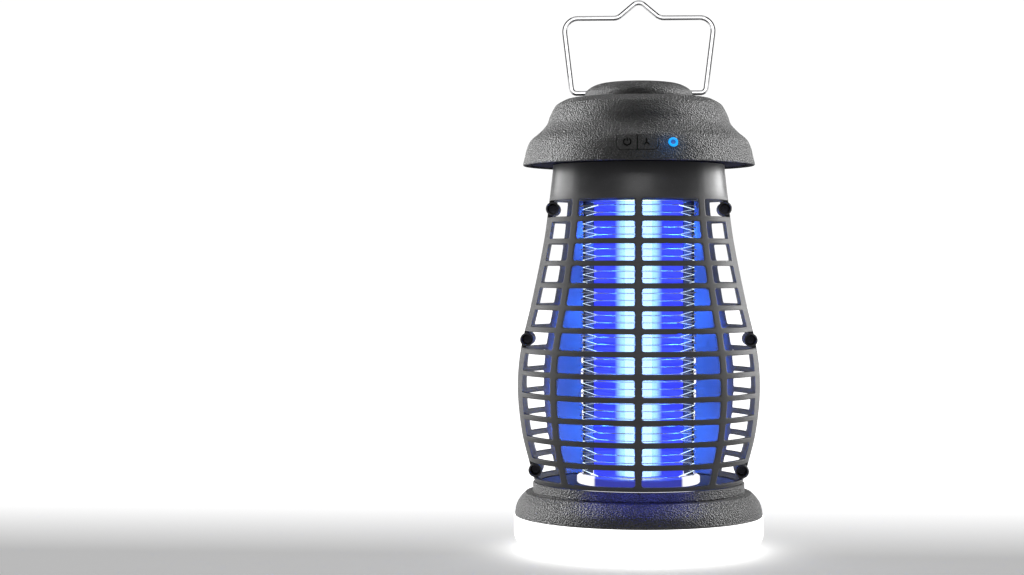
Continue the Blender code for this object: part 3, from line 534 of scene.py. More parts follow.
def edge_fractions(tight, spread):
    """Fractions from 0 to 1, dense at both ends where the corners are round."""
    start = [0.0, tight * 0.3, tight * 0.65, tight]
    middle = [tight + (1 - 2 * tight) * (index + 1) / spread for index in range(spread - 1)]
    return start + middle + [1.0 - value for value in reversed(start)]


def around(across, up):
    """Fractions (u, w) once round a rectangle, counter-clockwise from its low left corner."""
    loop = [(u, 0.0) for u in across[:-1]]
    loop += [(1.0, w) for w in up[:-1]]
    loop += [(u, 1.0) for u in reversed(across[1:])]
    loop += [(0.0, w) for w in reversed(up[1:])]
    return loop


def rounded(u, w, width, height, radius):
    """Place on a rounded rectangle for a fraction on its border, in its own lengths."""
    a = u * width
    b = w * height
    cx = min(max(a, radius), width - radius)
    cy = min(max(b, radius), height - radius)
    off = Vector((a - cx, b - cy))
    if (a - cx) and (b - cy):
        off = off.normalized() * radius
    elif abs(a - cx) < 1e-12 and abs(b - cy) < 1e-12:
        off = Vector((0.0, 0.0))
    return cx + off.x, cy + off.y


def rib_sides(outer, front):
    """Distances of the side rib's edges from the middle: a narrow upright in front, a panel at the rear."""
    if front:
        middle = outer * math.sin(FRONT_RIB)
        return middle - SIDE_RIB / 2.0, middle + SIDE_RIB / 2.0
    return outer * math.sin(REAR_PANEL[0]), outer * math.sin(REAR_PANEL[1])


def slot_angles(row, column, front, height):
    """Angles of a slot's two sides on the outer wall and, cut straight back, on the inner wall."""
    outer = guard_radius(height)
    inner = outer - GUARD_WALL
    rib_near, rib_far = rib_sides(outer, front)
    left, right = (CENTRE_RIB / 2.0, rib_near) if column == 0 else (rib_far, outer - SEAM_STRIP)
    angles = [math.asin(left / outer), math.asin(right / outer)]
    inside = [math.asin(left / inner), math.asin(min(right / inner, 0.9999))]
    if column == 1 and front and row in BOSS_ROWS:
        angles[1] = inside[1] = math.acos(BOSS_EDGE / outer)
    return angles, inside


def build_cell(bm, row, column, rib, front):
    """One slot with its rounded corners and edges, and the wall round it to the cell's borders."""
    centre = TOP_SLOT_CENTRE - row * SLOT_PITCH
    low = centre - SLOT_HEIGHT / 2.0
    across = edge_fractions(0.05 if column == 0 else 0.1, 10 if column == 0 else 8)
    up = edge_fractions(CORNER / SLOT_HEIGHT, 3)
    fractions = around(across, up)
    width = (rib if column == 0 else SEAM_ANGLE - rib) * guard_radius(centre) * 0.8
    borders = (0.0, rib) if column == 0 else (rib, SEAM_ANGLE)

    def ring(grow, depth):
        points = []
        for u, w in fractions:
            a, b = rounded(u, w, width + 2 * grow, SLOT_HEIGHT + 2 * grow, CORNER + grow)
            a -= grow
            b -= grow
            height = low + b
            outside, inside = slot_angles(row, column, front, height)
            share = a / width
            outer_angle = outside[0] + (outside[1] - outside[0]) * share
            inner_angle = inside[0] + (inside[1] - inside[0]) * share
            point = on_wall(outer_angle, height, 0.0).lerp(on_wall(inner_angle, height, 1.0), depth)
            points.append((point, outer_angle, inner_angle))
        return points

    def border(depth):
        points = []
        for u, w in fractions:
            height = centre + (w - 0.5) * SLOT_PITCH
            angle = borders[0] + (borders[1] - borders[0]) * u
            points.append((on_wall(angle, height, depth), angle, angle))
        return points

    def between(first, second, depth, share):
        points = []
        which = 1 if depth == 0.0 else 2
        for one, two in zip(first, second):
            angle = one[which] + (two[which] - one[which]) * share
            height = one[0].z + (two[0].z - one[0].z) * share
            points.append((on_wall(angle, height, depth), angle, angle))
        return points

    shallow = FILLET / GUARD_WALL
    outside = border(0.0)
    inside = border(1.0)
    lip_out = ring(FILLET, 0.0)
    lip_in = ring(FILLET, 1.0)
    steps = (0.5,) if column == 0 else (0.2, 0.4, 0.6, 0.8)
    loops = [outside]
    loops += [between(outside, lip_out, 0.0, share) for share in steps]
    loops += [lip_out, ring(0.3 * FILLET, 0.3 * shallow), ring(0.0, shallow), ring(0.0, 1.0 - shallow),
              ring(0.3 * FILLET, 1.0 - 0.3 * shallow), lip_in]
    loops += [between(lip_in, inside, 1.0, share) for share in steps]
    loops.append(inside)
    bridge(bm, [[bm.verts.new(point[0]) for point in loop] for loop in loops])


def build_bands(bm, rib):
    """Rail under the slots, smooth neck above them, and the closed ends and seam face."""
    angles = [rib * u for u in edge_fractions(0.05, 10)]
    angles += [rib + (SEAM_ANGLE - rib) * u for u in edge_fractions(0.1, 8)[1:]]
    lowest = TOP_SLOT_CENTRE - (SLOT_ROWS - 0.5) * SLOT_PITCH
    highest = TOP_SLOT_CENTRE + 0.5 * SLOT_PITCH
    rail = [GUARD_LOW, GUARD_LOW + 0.3 * MM, lowest]
    neck = [highest + (GUARD_HIGH - highest) * index / 8 for index in range(9)]
    for levels in (rail, neck):
        for depth in (0.0, 1.0):
            grid = [[bm.verts.new(on_wall(angle, level, depth)) for angle in angles] for level in levels]
            for lower, upper in zip(grid, grid[1:]):
                for index in range(len(angles) - 1):
                    bm.faces.new((lower[index], lower[index + 1], upper[index + 1], upper[index]))
    for level in (GUARD_LOW, GUARD_HIGH):
        strip = [[bm.verts.new(on_wall(angle, level, depth)) for angle in angles] for depth in (0.0, 1.0)]
        for index in range(len(angles) - 1):
            bm.faces.new((strip[0][index], strip[0][index + 1], strip[1][index + 1], strip[1][index]))
    heights = rail[:-1]
    for row in reversed(range(SLOT_ROWS)):
        base = TOP_SLOT_CENTRE - (row + 0.5) * SLOT_PITCH
        heights += [base + SLOT_PITCH * w for w in edge_fractions(CORNER / SLOT_HEIGHT, 3)[:-1]]
    heights += neck
    for low, high in zip(heights, heights[1:]):
        corners = [on_wall(SEAM_ANGLE, low, 0.0), on_wall(SEAM_ANGLE, low, 1.0),
                   on_wall(SEAM_ANGLE, high, 1.0), on_wall(SEAM_ANGLE, high, 0.0)]
        bm.faces.new([bm.verts.new(corner) for corner in corners])


def boss_frames(front):
    """Where the screw bosses stand on the seam: a matrix whose Z runs out towards the viewer."""
    for row in BOSS_ROWS:
        height = TOP_SLOT_CENTRE - row * SLOT_PITCH
        for side in (-1, 1):
            x = side * (guard_radius(height) - 2.7 * MM)
            turn = Matrix.Rotation(math.radians(90 if front else -90), 4, "X")
            yield Matrix.Translation((x, -SEAM_GAP if front else SEAM_GAP, height)) @ turn


def build_guard_half(name, front):
    rib = FRONT_RIB if front else (REAR_PANEL[0] + REAR_PANEL[1]) / 2.0
    bm = bmesh.new()
    for row in range(SLOT_ROWS):
        for column in (0, 1):
            build_cell(bm, row, column, rib, front)
    build_bands(bm, rib)
    copy = bmesh.ops.duplicate(bm, geom=bm.verts[:] + bm.edges[:] + bm.faces[:])["geom"]
    mirrored = [item for item in copy if isinstance(item, bmesh.types.BMVert)]
    bmesh.ops.scale(bm, vec=(-1.0, 1.0, 1.0), verts=mirrored)
    bmesh.ops.remove_doubles(bm, verts=bm.verts, dist=0.000004)
    if not front:
        bmesh.ops.scale(bm, vec=(1.0, -1.0, 1.0), verts=bm.verts)
    bmesh.ops.recalc_face_normals(bm, faces=bm.faces)
    length = FRONT_BOSS if front else REAR_BOSS
    outline = [(BOSS_RADIUS - 0.35 * MM, length), (BOSS_RADIUS, length - 0.4 * MM),
               (BOSS_RADIUS, 0.0), (0.0, 0.0)]
    if front:
        bottom = length - MOUTH_DEPTH
        mouth = [(0.0, bottom), (BOSS_MOUTH, bottom), (BOSS_MOUTH, length - 0.3 * MM),
                 (BOSS_MOUTH + 0.3 * MM, length)]
    else:
        mouth = [(0.0, length)]
    for matrix in boss_frames(front):
        cylinder(bm, mouth + outline, matrix)
    piece(name + "_skin", bm, SATIN, "upper", (name,), sharp=40.0, recalc=False)


# ------------------------------------------------------------------ hat

HAT_LINE = [(37.7, 226.8), (41.2, 224.8), (42.8, 222.8), (44.8, 218.8), (46.3, 214.7), (49.8, 210.7),
            (54.4, 206.7), (56.4, 202.6), (57.4, 198.6), (58.4, 194.6)]
HAT_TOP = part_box("hat_shell")[1].z
HAT_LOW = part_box("hat_shell")[0].z
HAT_SKIN = spline([(r * MM, z * MM) for r, z in HAT_LINE], 6)
CONTROL = Vector((0.0, -56.2 * MM, 202.8 * MM))
CONTROL_TILT = math.radians(20.0)
CONTROL_OUT = Vector((0.0, -math.cos(CONTROL_TILT), math.sin(CONTROL_TILT)))
CONTROL_UP = Vector((0.0, math.sin(CONTROL_TILT), math.cos(CONTROL_TILT)))
COVER = Vector((0.0, 57.1 * MM, 199.9 * MM))
COVER_TILT = math.radians(14.0)
COVER_OUT = Vector((0.0, math.cos(COVER_TILT), math.sin(COVER_TILT)))
COVER_UP = Vector((0.0, -math.sin(COVER_TILT), math.cos(COVER_TILT)))
RIGHT = Vector((1.0, 0.0, 0.0))


def hat_radius(height):
    for (r0, z0), (r1, z1) in zip(HAT_SKIN, HAT_SKIN[1:]):
        if z1 <= height <= z0:
            return r0 + (r1 - r0) * (z0 - height) / (z0 - z1)
    return HAT_SKIN[-1][0]


def on_hat(origin, across, up, outward, depth=0.0):
    """Point of the hat's skin in front of a local place, sunk by a depth along the local normal."""
    start = origin + RIGHT * across + up[0] * up[1]
    low, high = -12.0 * MM, 6.0 * MM
    for _ in range(40):
        middle = (low + high) / 2.0
        spot = start + outward * middle
        if math.hypot(spot.x, spot.y) > hat_radius(spot.z):
            high = middle
        else:
            low = middle
    return start + outward * (low - depth)


def outline_points(left, right, low, high, radii, steps=6):
    """Rounded rectangle, counter-clockwise from the low left, as its four radii are."""
    corners = [(left, low), (right, low), (right, high), (left, high)]
    signs = [(1, 1), (-1, 1), (-1, -1), (1, -1)]
    starts = [180, 270, 0, 90]
    points = []
    for (x, z), (sx, sz), start, radius in zip(corners, signs, starts, radii):
        for step in range(steps + 1):
            angle = math.radians(start + 90.0 * step / steps)
            points.append((x + radius * (sx + math.cos(angle)), z + radius * (sz + math.sin(angle))))
    return points


def dense(points, longest):
    """Add points so that no side of the closed outline is longer than a length."""
    filled = []
    for index, point in enumerate(points):
        following = points[(index + 1) % len(points)]
        length = math.dist(point, following)
        parts = max(1, math.ceil(length / longest))
        for part in range(parts):
            share = part / parts
            filled.append((point[0] + (following[0] - point[0]) * share,
                           point[1] + (following[1] - point[1]) * share))
    return filled


def skin_plate(bm, outline, origin, up, outward, thickness, edge):
    """Plate whose front follows the hat's skin, with a rounded edge and a flat-sided body behind."""
    middle = Vector((sum(x for x, _ in outline), sum(z for _, z in outline))) / len(outline)

    def loop(shrink, inset, depth):
        made = []
        for x, z in outline:
            away = Vector((x, z)) - middle
            place = middle + away * shrink - away.normalized() * inset
            made.append(bm.verts.new(on_hat(origin, place.x, (up, place.y), outward, depth)))
        return made

    loops = [loop(shrink, 0.0, 0.0) for shrink in (0.02, 0.25, 0.5, 0.75, 0.9)]
    loops += [loop(1.0, edge, 0.0), loop(1.0, edge * 0.3, edge * 0.3), loop(1.0, 0.0, edge),
              loop(1.0, 0.0, thickness)]
    bridge(bm, loops)
    bm.faces.new(loops[0])
    bm.faces.new(list(reversed(loops[-1])))


def prism(name, outline, origin, up, outward, reach):
    """Straight cutter through the hat wall along a local normal."""
    bm = bmesh.new()
    near = [bm.verts.new(origin + RIGHT * x + up * z - outward * reach) for x, z in outline]
    far = [bm.verts.new(origin + RIGHT * x + up * z + outward * reach) for x, z in outline]
    bridge(bm, [near, far])
    bm.faces.new(near[::-1])
    bm.faces.new(far)
    bmesh.ops.recalc_face_normals(bm, faces=bm.faces)
    return loose(name, bm)


def cut(item, cutters):
    """Subtract cutters from a piece and keep the result as its plain mesh."""
    for cutter in cutters:
        bpy.context.scene.collection.objects.link(cutter)
        modifier = item.modifiers.new(cutter.name, "BOOLEAN")
        modifier.operation = "DIFFERENCE"
        modifier.object = cutter
    bpy.context.view_layer.update()
    shape = bpy.data.meshes.new_from_object(item.evaluated_get(bpy.context.evaluated_depsgraph_get()))
    item.modifiers.clear()
    old = item.data
    item.data = shape
    bpy.data.meshes.remove(old)
    for cutter in cutters:
        bpy.data.objects.remove(cutter)
    shape.shade_smooth()
    shape.set_sharp_from_angle(angle=math.radians(30.0))


BUTTON_LOW = -3.75 * MM
BUTTON_HIGH = 3.75 * MM
POWER_EDGES = (-10.6 * MM, -0.75 * MM)
MODE_EDGES = (-0.45 * MM, 9.4 * MM)
BUTTON_CORNER = 2.6 * MM
SMALL_CORNER = 0.5 * MM
KEY_GAP = 0.3 * MM
LENS_X = 16.5 * MM
LENS_RADIUS = 2.3 * MM


def lens_axis():
    """Origin of the indicator on the hat's skin and the way it looks out."""
    return Vector((LENS_X, -math.sqrt(CONTROL.y ** 2 - LENS_X ** 2), CONTROL.z))


def build_hat():
    line = [(0.0, HAT_TOP), (20.0 * MM, HAT_TOP), (34.6 * MM, HAT_TOP), (36.4 * MM, HAT_TOP - 0.15 * MM)]
    lip = [(HAT_SKIN[-1][0] - 0.35 * MM, HAT_LOW), (55.9 * MM, HAT_LOW)]
    inner = [(r - 2.2 * MM, z - 0.8 * MM) for r, z in reversed(HAT_SKIN[3:-2:4])]
    profile = line + HAT_SKIN[:-1] + [(HAT_SKIN[-1][0], HAT_LOW + 0.35 * MM)] + lip + inner
    profile += [(34.0 * MM, HAT_TOP - 2.4 * MM), (0.0, HAT_TOP - 2.4 * MM)]
    hat = piece("hat_shell_skin", lathe(profile, 192), GRAIN, "upper", ("hat_shell",))
    window = outline_points(POWER_EDGES[0] - KEY_GAP / 2.0, MODE_EDGES[1] + KEY_GAP / 2.0,
                            BUTTON_LOW - KEY_GAP, BUTTON_HIGH + 0.05 * MM,
                            (BUTTON_CORNER + KEY_GAP, BUTTON_CORNER + KEY_GAP, SMALL_CORNER, SMALL_CORNER))
    port = outline_points(-7.5 * MM, 7.5 * MM, -4.0 * MM, 4.0 * MM, (1.4 * MM,) * 4)
    cutters = [prism("window", window, CONTROL, CONTROL_UP, CONTROL_OUT, 9.0 * MM),
               prism("lens_hole", circle(LENS_RADIUS * 1.06, 15), lens_axis(), CONTROL_UP, CONTROL_OUT, 9.0 * MM)]
    recess = bmesh.new()
    skin_plate(recess, dense(port, 1.5 * MM), COVER, COVER_UP, COVER_OUT, 1.6 * MM, 0.02 * MM)
    bmesh.ops.translate(recess, vec=COVER_OUT * 0.35 * MM, verts=[v for v in recess.verts
                        if math.hypot(v.co.x, v.co.y) > hat_radius(v.co.z) - 0.6 * MM])
    bmesh.ops.recalc_face_normals(recess, faces=recess.faces)
    cutters.append(loose("port_recess", recess))
    mouth = outline_points(-4.8 * MM, 4.8 * MM, -1.9 * MM, 1.7 * MM, (1.2 * MM,) * 4)
    cutters.append(prism("port_mouth", mouth, COVER, Vector((0, 0, 1)), Vector((0, 1, 0)), 7.0 * MM))
    cut(hat, cutters)
    # thin near-black ring under the hat's lip: a dark sheet of painted shade along the brim's lower edge
    rim = [(57.9 * MM, HAT_LOW + 0.1 * MM), (57.9 * MM, HAT_LOW - 0.05 * MM),
           (54.5 * MM, HAT_LOW - 0.05 * MM), (54.5 * MM, HAT_LOW + 0.1 * MM)]
    bm = lathe(rim + rim[:1], 192, closed=False)
    piece("hat_rim_painted_shade", bm, PAINTED_SHADE_UNDERSIDE, "upper")


def build_buttons():
    for name, edges, radii, body in (
            ("power_button", POWER_EDGES, (BUTTON_CORNER, SMALL_CORNER, SMALL_CORNER, SMALL_CORNER), "power_key"),
            ("mode_button", MODE_EDGES, (SMALL_CORNER, BUTTON_CORNER, SMALL_CORNER, SMALL_CORNER), "mode_key")):
        outline = dense(outline_points(edges[0], edges[1], BUTTON_LOW, BUTTON_HIGH, radii), 0.9 * MM)
        bm = bmesh.new()
        skin_plate(bm, outline, CONTROL, CONTROL_UP, CONTROL_OUT, 4.6 * MM, 0.3 * MM)
        piece(name + "_cap", bm, KEY, body, (name,), sharp=50.0)


def mark_line(name, points, body, cyclic=False):
    """Thin raised line on a key, following the hat's skin."""
    placed = [on_hat(CONTROL, x, (CONTROL_UP, z), CONTROL_OUT, -0.1 * MM) for x, z in points]
    tube(name, placed, 0.3 * MM, MARK, body, resolution=2, cyclic=cyclic)


def build_marks():
    """Generic on/off sign and a three-armed sign for the lamp's modes."""
    centre = (-5.4 * MM, 0.1 * MM)
    radius = 1.75 * MM
    ring = []
    for index in range(29):
        angle = math.radians(90.0 + 35.0 + 290.0 * index / 28)
        ring.append((centre[0] + radius * math.cos(angle), centre[1] + radius * math.sin(angle)))
    mark_line("power_mark_ring", ring, "power_key")
    mark_line("power_mark_bar", [(centre[0], centre[1] + 0.35 * MM), (centre[0], centre[1] + 2.1 * MM)],
              "power_key")
    centre = (3.9 * MM, -0.1 * MM)
    for index, degrees in enumerate((90.0, 225.0, 315.0)):
        angle = math.radians(degrees)
        end = (centre[0] + 1.9 * MM * math.cos(angle), centre[1] + 1.9 * MM * math.sin(angle))
        mark_line(f"mode_mark_arm_{index + 1}", [centre, end], "mode_key")


def build_indicator():
    turn = Matrix((RIGHT, -CONTROL_UP, CONTROL_OUT)).transposed().to_4x4()
    spot = on_hat(Vector((0.0, lens_axis().y, lens_axis().z)), LENS_X, (CONTROL_UP, 0.0), CONTROL_OUT)
    matrix = Matrix.Translation(spot) @ turn
    outer = LENS_RADIUS
    inner = 1.25 * MM
    bm = bmesh.new()
    rim = [(inner, 0.15 * MM), (inner + 0.3 * MM, 0.32 * MM), (outer - 0.35 * MM, 0.32 * MM), (outer, 0.0),
           (outer, -3.0 * MM), (inner, -3.0 * MM)]
    cylinder(bm, rim, matrix, 48)
    piece("indicator_ring", bm, AZURE, "upper", ("indicator_lens",), recalc=False)
    bm = bmesh.new()
    core = [(0.0, 0.2 * MM), (inner * 0.6, 0.16 * MM), (inner, 0.0), (inner, -2.5 * MM), (0.0, -2.5 * MM)]
    cylinder(bm, core, matrix, 32)
    piece("indicator_core", bm, AZURE_DEEP, "upper", recalc=False)


def build_port_cover():
    outline = dense(outline_points(-7.2 * MM, 7.2 * MM, -3.7 * MM, 3.7 * MM, (1.2 * MM,) * 4), 1.2 * MM)
    bm = bmesh.new()
    skin_plate(bm, outline, COVER, COVER_UP, COVER_OUT, 1.25 * MM, 0.35 * MM)
    piece("usb_cover_flap", bm, RUBBER, "port_cover", ("usb_cover",), sharp=50.0)
    ridge = [on_hat(COVER, (index - 4) * 0.55 * MM, (COVER_UP, -2.9 * MM), COVER_OUT, 0.05 * MM)
             for index in range(9)]
    tube("usb_cover_grip", ridge, 0.35 * MM, RUBBER, "port_cover")


BAIL_AXIS = 230.7 * MM
BAIL_WIRE = 1.25 * MM
BAIL_BORE = 1.6 * MM


def build_dome():
    low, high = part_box("crown_cap")
    line = spline([(9.4 * MM, 236.1 * MM), (13.7 * MM, 235.9 * MM), (18.9 * MM, 235.3 * MM),
                   (22.0 * MM, 234.4 * MM), (24.5 * MM, 233.1 * MM), (26.6 * MM, 231.3 * MM),
                   (27.3 * MM, 229.6 * MM), (27.5 * MM, low.z + 0.3 * MM)], 5)
    profile = [(0.0, high.z), (4.7 * MM, high.z - 0.03 * MM)] + line
    profile += [(27.2 * MM, low.z), (25.4 * MM, low.z), (24.8 * MM, 230.0 * MM), (20.0 * MM, 232.6 * MM),
                (0.0, 233.9 * MM)]
    dome = piece("crown_cap_skin", lathe(profile, 128), GRAIN, "upper",
                 ("crown_cap",))
    cutter = prism("bail_bore", circle(BAIL_BORE, 15), Vector((0, 0, BAIL_AXIS)), Vector((0, 0, 1)),
                   Vector((0, 1, 0)), 40 * MM)
    cutter.data.transform(Matrix.Translation((0, 0, BAIL_AXIS)) @ Matrix.Rotation(math.radians(90), 4, "Z")
                          @ Matrix.Translation((0, 0, -BAIL_AXIS)))
    cut(dome, [cutter])


def rounded_path(corners, radii, steps):
    points = [Vector(corners[0])]
    for index, radius in enumerate(radii, start=1):
        corner = Vector(corners[index])
        back = (Vector(corners[index - 1]) - corner).normalized()
        ahead = (Vector(corners[index + 1]) - corner).normalized()
        half = back.angle(ahead) / 2.0
        middle = corner + (back + ahead).normalized() * (radius / math.sin(half))
        start = corner + back * radius / math.tan(half) - middle
        end = corner + ahead * radius / math.tan(half) - middle
        turn = start.angle_signed(end)
        for step in range(steps + 1):
            points.append(middle + Matrix.Rotation(-turn * step / steps, 2) @ start)
    points.append(Vector(corners[-1]))
    return points


def build_handle():
    right = [(16.0, 0.0), (33.6, 0.0), (38.2, 37.8), (10.6, 37.8)]
    corners = right + [(0.0, 46.7)] + [(-x, z) for x, z in reversed(right)]
    radii = [2.8, 6.7, 6.0, 4.0, 6.0, 6.7, 2.8]
    flat = rounded_path([(x * MM, z * MM) for x, z in corners], [radius * MM for radius in radii], 12)
    points = [(point.x, 0.0, BAIL_AXIS + point.y) for point in flat]
    tube("bail_wire", points, BAIL_WIRE, CHROME, "handle", ("carry_handle",), resolution=8)


# ------------------------------------------------------------------ base

BAND_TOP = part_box("base_ring")[1].z
RING_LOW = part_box("base_ring")[0].z
BAND_RADIUS = 53.3 * MM
GROOVE = 0.35 * MM
FOOT_RADIUS = 5.0 * MM


def build_base_ring():
    shoulder = spline([(56.9 * MM, 29.5 * MM), (58.9 * MM, 27.5 * MM), (60.5 * MM, 25.4 * MM),
                       (61.5 * MM, 23.4 * MM), (62.0 * MM, 21.4 * MM), (62.4 * MM, 18.9 * MM)], 5)
    band = [(BAND_RADIUS - 0.5 * MM, BAND_TOP), (BAND_RADIUS, BAND_TOP - 0.4 * MM),
            (BAND_RADIUS, 30.3 * MM), (BAND_RADIUS - GROOVE, 30.0 * MM), (BAND_RADIUS - GROOVE, 29.7 * MM),
            (BAND_RADIUS + 0.3 * MM, 29.45 * MM), (55.2 * MM, 29.6 * MM)]
    inner = [(60.2 * MM, RING_LOW + 0.1 * MM), (60.0 * MM, 19.0 * MM), (7.5 * MM, 19.0 * MM),
             (7.5 * MM, 32.3 * MM), (0.0, 32.3 * MM)]
    profile = [(0.0, 33.8 * MM), (8.6 * MM, 33.8 * MM), (9.0 * MM, 33.4 * MM), (9.0 * MM, 21.0 * MM),
               (59.6 * MM, 21.0 * MM), (58.3 * MM, 25.0 * MM), (56.2 * MM, 27.3 * MM),
               (51.4 * MM, 27.5 * MM), (51.4 * MM, BAND_TOP)]
    profile += band + shoulder + [(62.2 * MM, RING_LOW + 0.1 * MM)] + inner
    piece("base_ring_skin", lathe(profile, 192), GRAIN, "base",
          ("base_ring",), sharp=30.0)


def build_lantern():
    low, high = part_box("lantern_diffuser")
    radius = high.x
    edge = 9.0 * MM
    corner = (radius - edge, low.z + edge)
    outer = [(radius, high.z - 0.3 * MM)] + arc(corner, edge, 0, -90, 16)
    inner = arc(corner, edge - 2.0 * MM, -90, 0, 10) + [(radius - 2.0 * MM, high.z - 0.1 * MM)]
    profile = [(0.0, low.z + 2.0 * MM)] + inner + [(radius - 0.3 * MM, high.z - 0.05 * MM)] + outer
    profile.append((0.0, low.z))
    body = piece("lantern_shell", lathe(profile, 160), LANTERN, "base",
                 ("lantern_diffuser",))
    cutters = []
    for index in range(4):
        foot_low, foot_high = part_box(f"rubber_foot_{index + 1}")
        centre = (foot_low + foot_high) / 2.0
        spot = Vector((centre.x, centre.y, 0.0))
        cutters.append(prism(f"pocket_{index}", circle(FOOT_RADIUS + 0.3 * MM, 12), spot, Vector((0, 1, 0)),
                             Vector((0, 0, 1)), 2.0 * MM))
    cut(body, cutters)
    for index in range(4):
        build_foot(index + 1)


def build_foot(number):
    low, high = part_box(f"rubber_foot_{number}")
    centre = (low + high) / 2.0
    radius = FOOT_RADIUS
    outline = [(0.0, high.z), (radius - 0.2 * MM, high.z), (radius, high.z - 0.2 * MM),
               (radius, low.z + 0.5 * MM), (radius - 0.5 * MM, low.z), (3.2 * MM, low.z),
               (2.9 * MM, low.z + 0.4 * MM), (0.0, low.z + 0.4 * MM)]
    bm = bmesh.new()
    cylinder(bm, outline, Matrix.Translation((centre.x, centre.y, 0.0)), 40)
    piece(f"foot_{number}", bm, RUBBER, "base", (f"rubber_foot_{number}",), recalc=False)


def build_tray():
    low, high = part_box("insect_tray")
    radius = high.x
    profile = [(radius, high.z - 0.2 * MM), (radius, low.z + 1.5 * MM), (radius - 1.5 * MM, low.z),
               (10.0 * MM, low.z), (10.0 * MM, 32.5 * MM), (11.2 * MM, 32.5 * MM),
               (11.2 * MM, low.z + 1.6 * MM), (11.6 * MM, low.z + 1.2 * MM),
               (radius - 2.2 * MM, low.z + 1.2 * MM), (radius - 1.2 * MM, low.z + 2.2 * MM),
               (radius - 1.2 * MM, high.z), (radius - 0.2 * MM, high.z)]
    # the white circle on the dish is painted light, not the plastic's colour
    piece("insect_tray_dish", lathe(profile, 128), TRAY_PAINTED_GLOW, "base", ("insect_tray",))


# ------------------------------------------------------------------ lamp and grid

GRID_RADIUS = 28.8 * MM
GRID_PITCH = 7.27 * MM
GRID_TURNS = 19
GRID_WIRE = 0.22 * MM
STEPS_PER_TURN = 48
TOOTH_WIRE = 0.33 * MM
TOOTH_ANGLES = (math.radians(15.0), math.radians(46.0))
HAZE_RADII = (7.6, 8.4, 9.2, 10.0, 10.8, 11.6)
CORE_RADIUS = 6.8 * MM


def build_lamp():
    low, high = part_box("lamp_sleeve")
    sleeve = high.x
    bm = lathe([(sleeve, high.z), (sleeve, low.z)], 96, closed=False)
    piece("lamp_sleeve_tube", bm, SLEEVE, "upper", ("lamp_sleeve",), recalc=False)
    low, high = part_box("uv_tube")
    radius = CORE_RADIUS
    outline = [(0.0, high.z), (radius - 1.2 * MM, high.z), (radius - 0.35 * MM, high.z - 0.35 * MM),
               (radius, high.z - 1.2 * MM), (radius, low.z + 1.2 * MM), (radius - 0.35 * MM, low.z + 0.35 * MM),
               (radius - 1.2 * MM, low.z), (0.0, low.z)]
    piece("uv_tube_glass", lathe(outline, 64), TUBE, "upper", ("uv_tube",))
    bm = bmesh.new()
    for reach in HAZE_RADII:
        lathe([(reach * MM, high.z - 0.2 * MM), (reach * MM, low.z + 0.2 * MM)], 96, closed=False, bm=bm)
    piece("lamp_glow_layers", bm, HAZE, "upper", recalc=False)


def build_holders():
    for name in ("lower_lamp_holder", "upper_lamp_holder"):
        low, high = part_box(name)
        radius = high.x
        facing_up = name.startswith("lower")
        face = high.z if facing_up else low.z
        back = low.z - 1.2 * MM if facing_up else high.z
        way = 1.0 if facing_up else -1.0
        outline = [(0.0, back + way * 0.8 * MM), (11.1 * MM, back + way * 0.8 * MM),
                   (11.1 * MM, face - way * 0.3 * MM), (11.4 * MM, face), (radius - 0.5 * MM, face),
                   (radius, face - way * 0.5 * MM), (radius, back + way * 0.5 * MM),
                   (radius - 0.5 * MM, back), (0.0, back)]
        # the lower disc's blue and white glow is painted light; the upper disc is plain dark insulator
        disc = piece(name + "_disc", lathe(outline, 96), PAINTED_GLOW_HOLDER if facing_up else HOLDER, "upper",
                     (name,))
        cutters = []
        for index in range(4):
            post_low, post_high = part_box(f"grid_post_{index + 1}")
            spot = (post_low + post_high) / 2.0
            hole_radius = (post_high.x - post_low.x) / 2.0 + 0.3 * MM
            cutters.append(prism(f"hole_{index}", circle(hole_radius, 20), Vector((spot.x, spot.y, face)),
                                 Vector((0, 1, 0)), Vector((0, 0, 1)), 1.6 * MM))
        cut(disc, cutters)


def post_fin(bm, across, along, low, high):
    """Upright rib beside a side post that carries the wire keepers."""
    middle = Vector((24.7 * MM * across, 9.2 * MM * along, (low + high) / 2.0))
    size = Vector((4.2 * MM, 1.0 * MM, high - low))
    matrix = Matrix.Translation(middle) @ Matrix.Diagonal((*size, 1.0))
    bmesh.ops.create_cube(bm, size=1.0, matrix=matrix)


def build_posts():
    """Slim insulating posts, notched where each turn of wire crosses."""
    for index in range(4):
        low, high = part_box(f"grid_post_{index + 1}")
        centre = (low + high) / 2.0
        thick = (high.x - low.x) / 2.0
        outline = [(0.0, high.z), (thick - 0.2 * MM, high.z), (thick, high.z - 0.2 * MM)]
        for step in reversed(range(2 * GRID_TURNS)):
            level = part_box("grid_wire_live")[0].z + 0.45 * MM + GRID_PITCH / 2.0 * step
            notch = thick - 0.3 * MM
            outline += [(thick, level + 0.7 * MM), (notch, level + 0.3 * MM), (notch, level - 0.3 * MM),
                        (thick, level - 0.7 * MM)]
        outline += [(thick, low.z + 0.2 * MM), (thick - 0.2 * MM, low.z), (0.0, low.z)]
        bm = bmesh.new()
        cylinder(bm, outline, Matrix.Translation((centre.x, centre.y, 0.0)), 20)
        if abs(centre.x) > abs(centre.y):
            for side in (-1.0, 1.0):
                post_fin(bm, math.copysign(1.0, centre.x), side, low.z + 3.0 * MM, high.z - 3.0 * MM)
        piece(f"grid_post_{index + 1}_rod", bm, HOLDER, "upper",
              (f"grid_post_{index + 1}",), recalc=False)


def on_grid(angle, height):
    return (GRID_RADIUS * math.cos(angle), GRID_RADIUS * math.sin(angle), height)


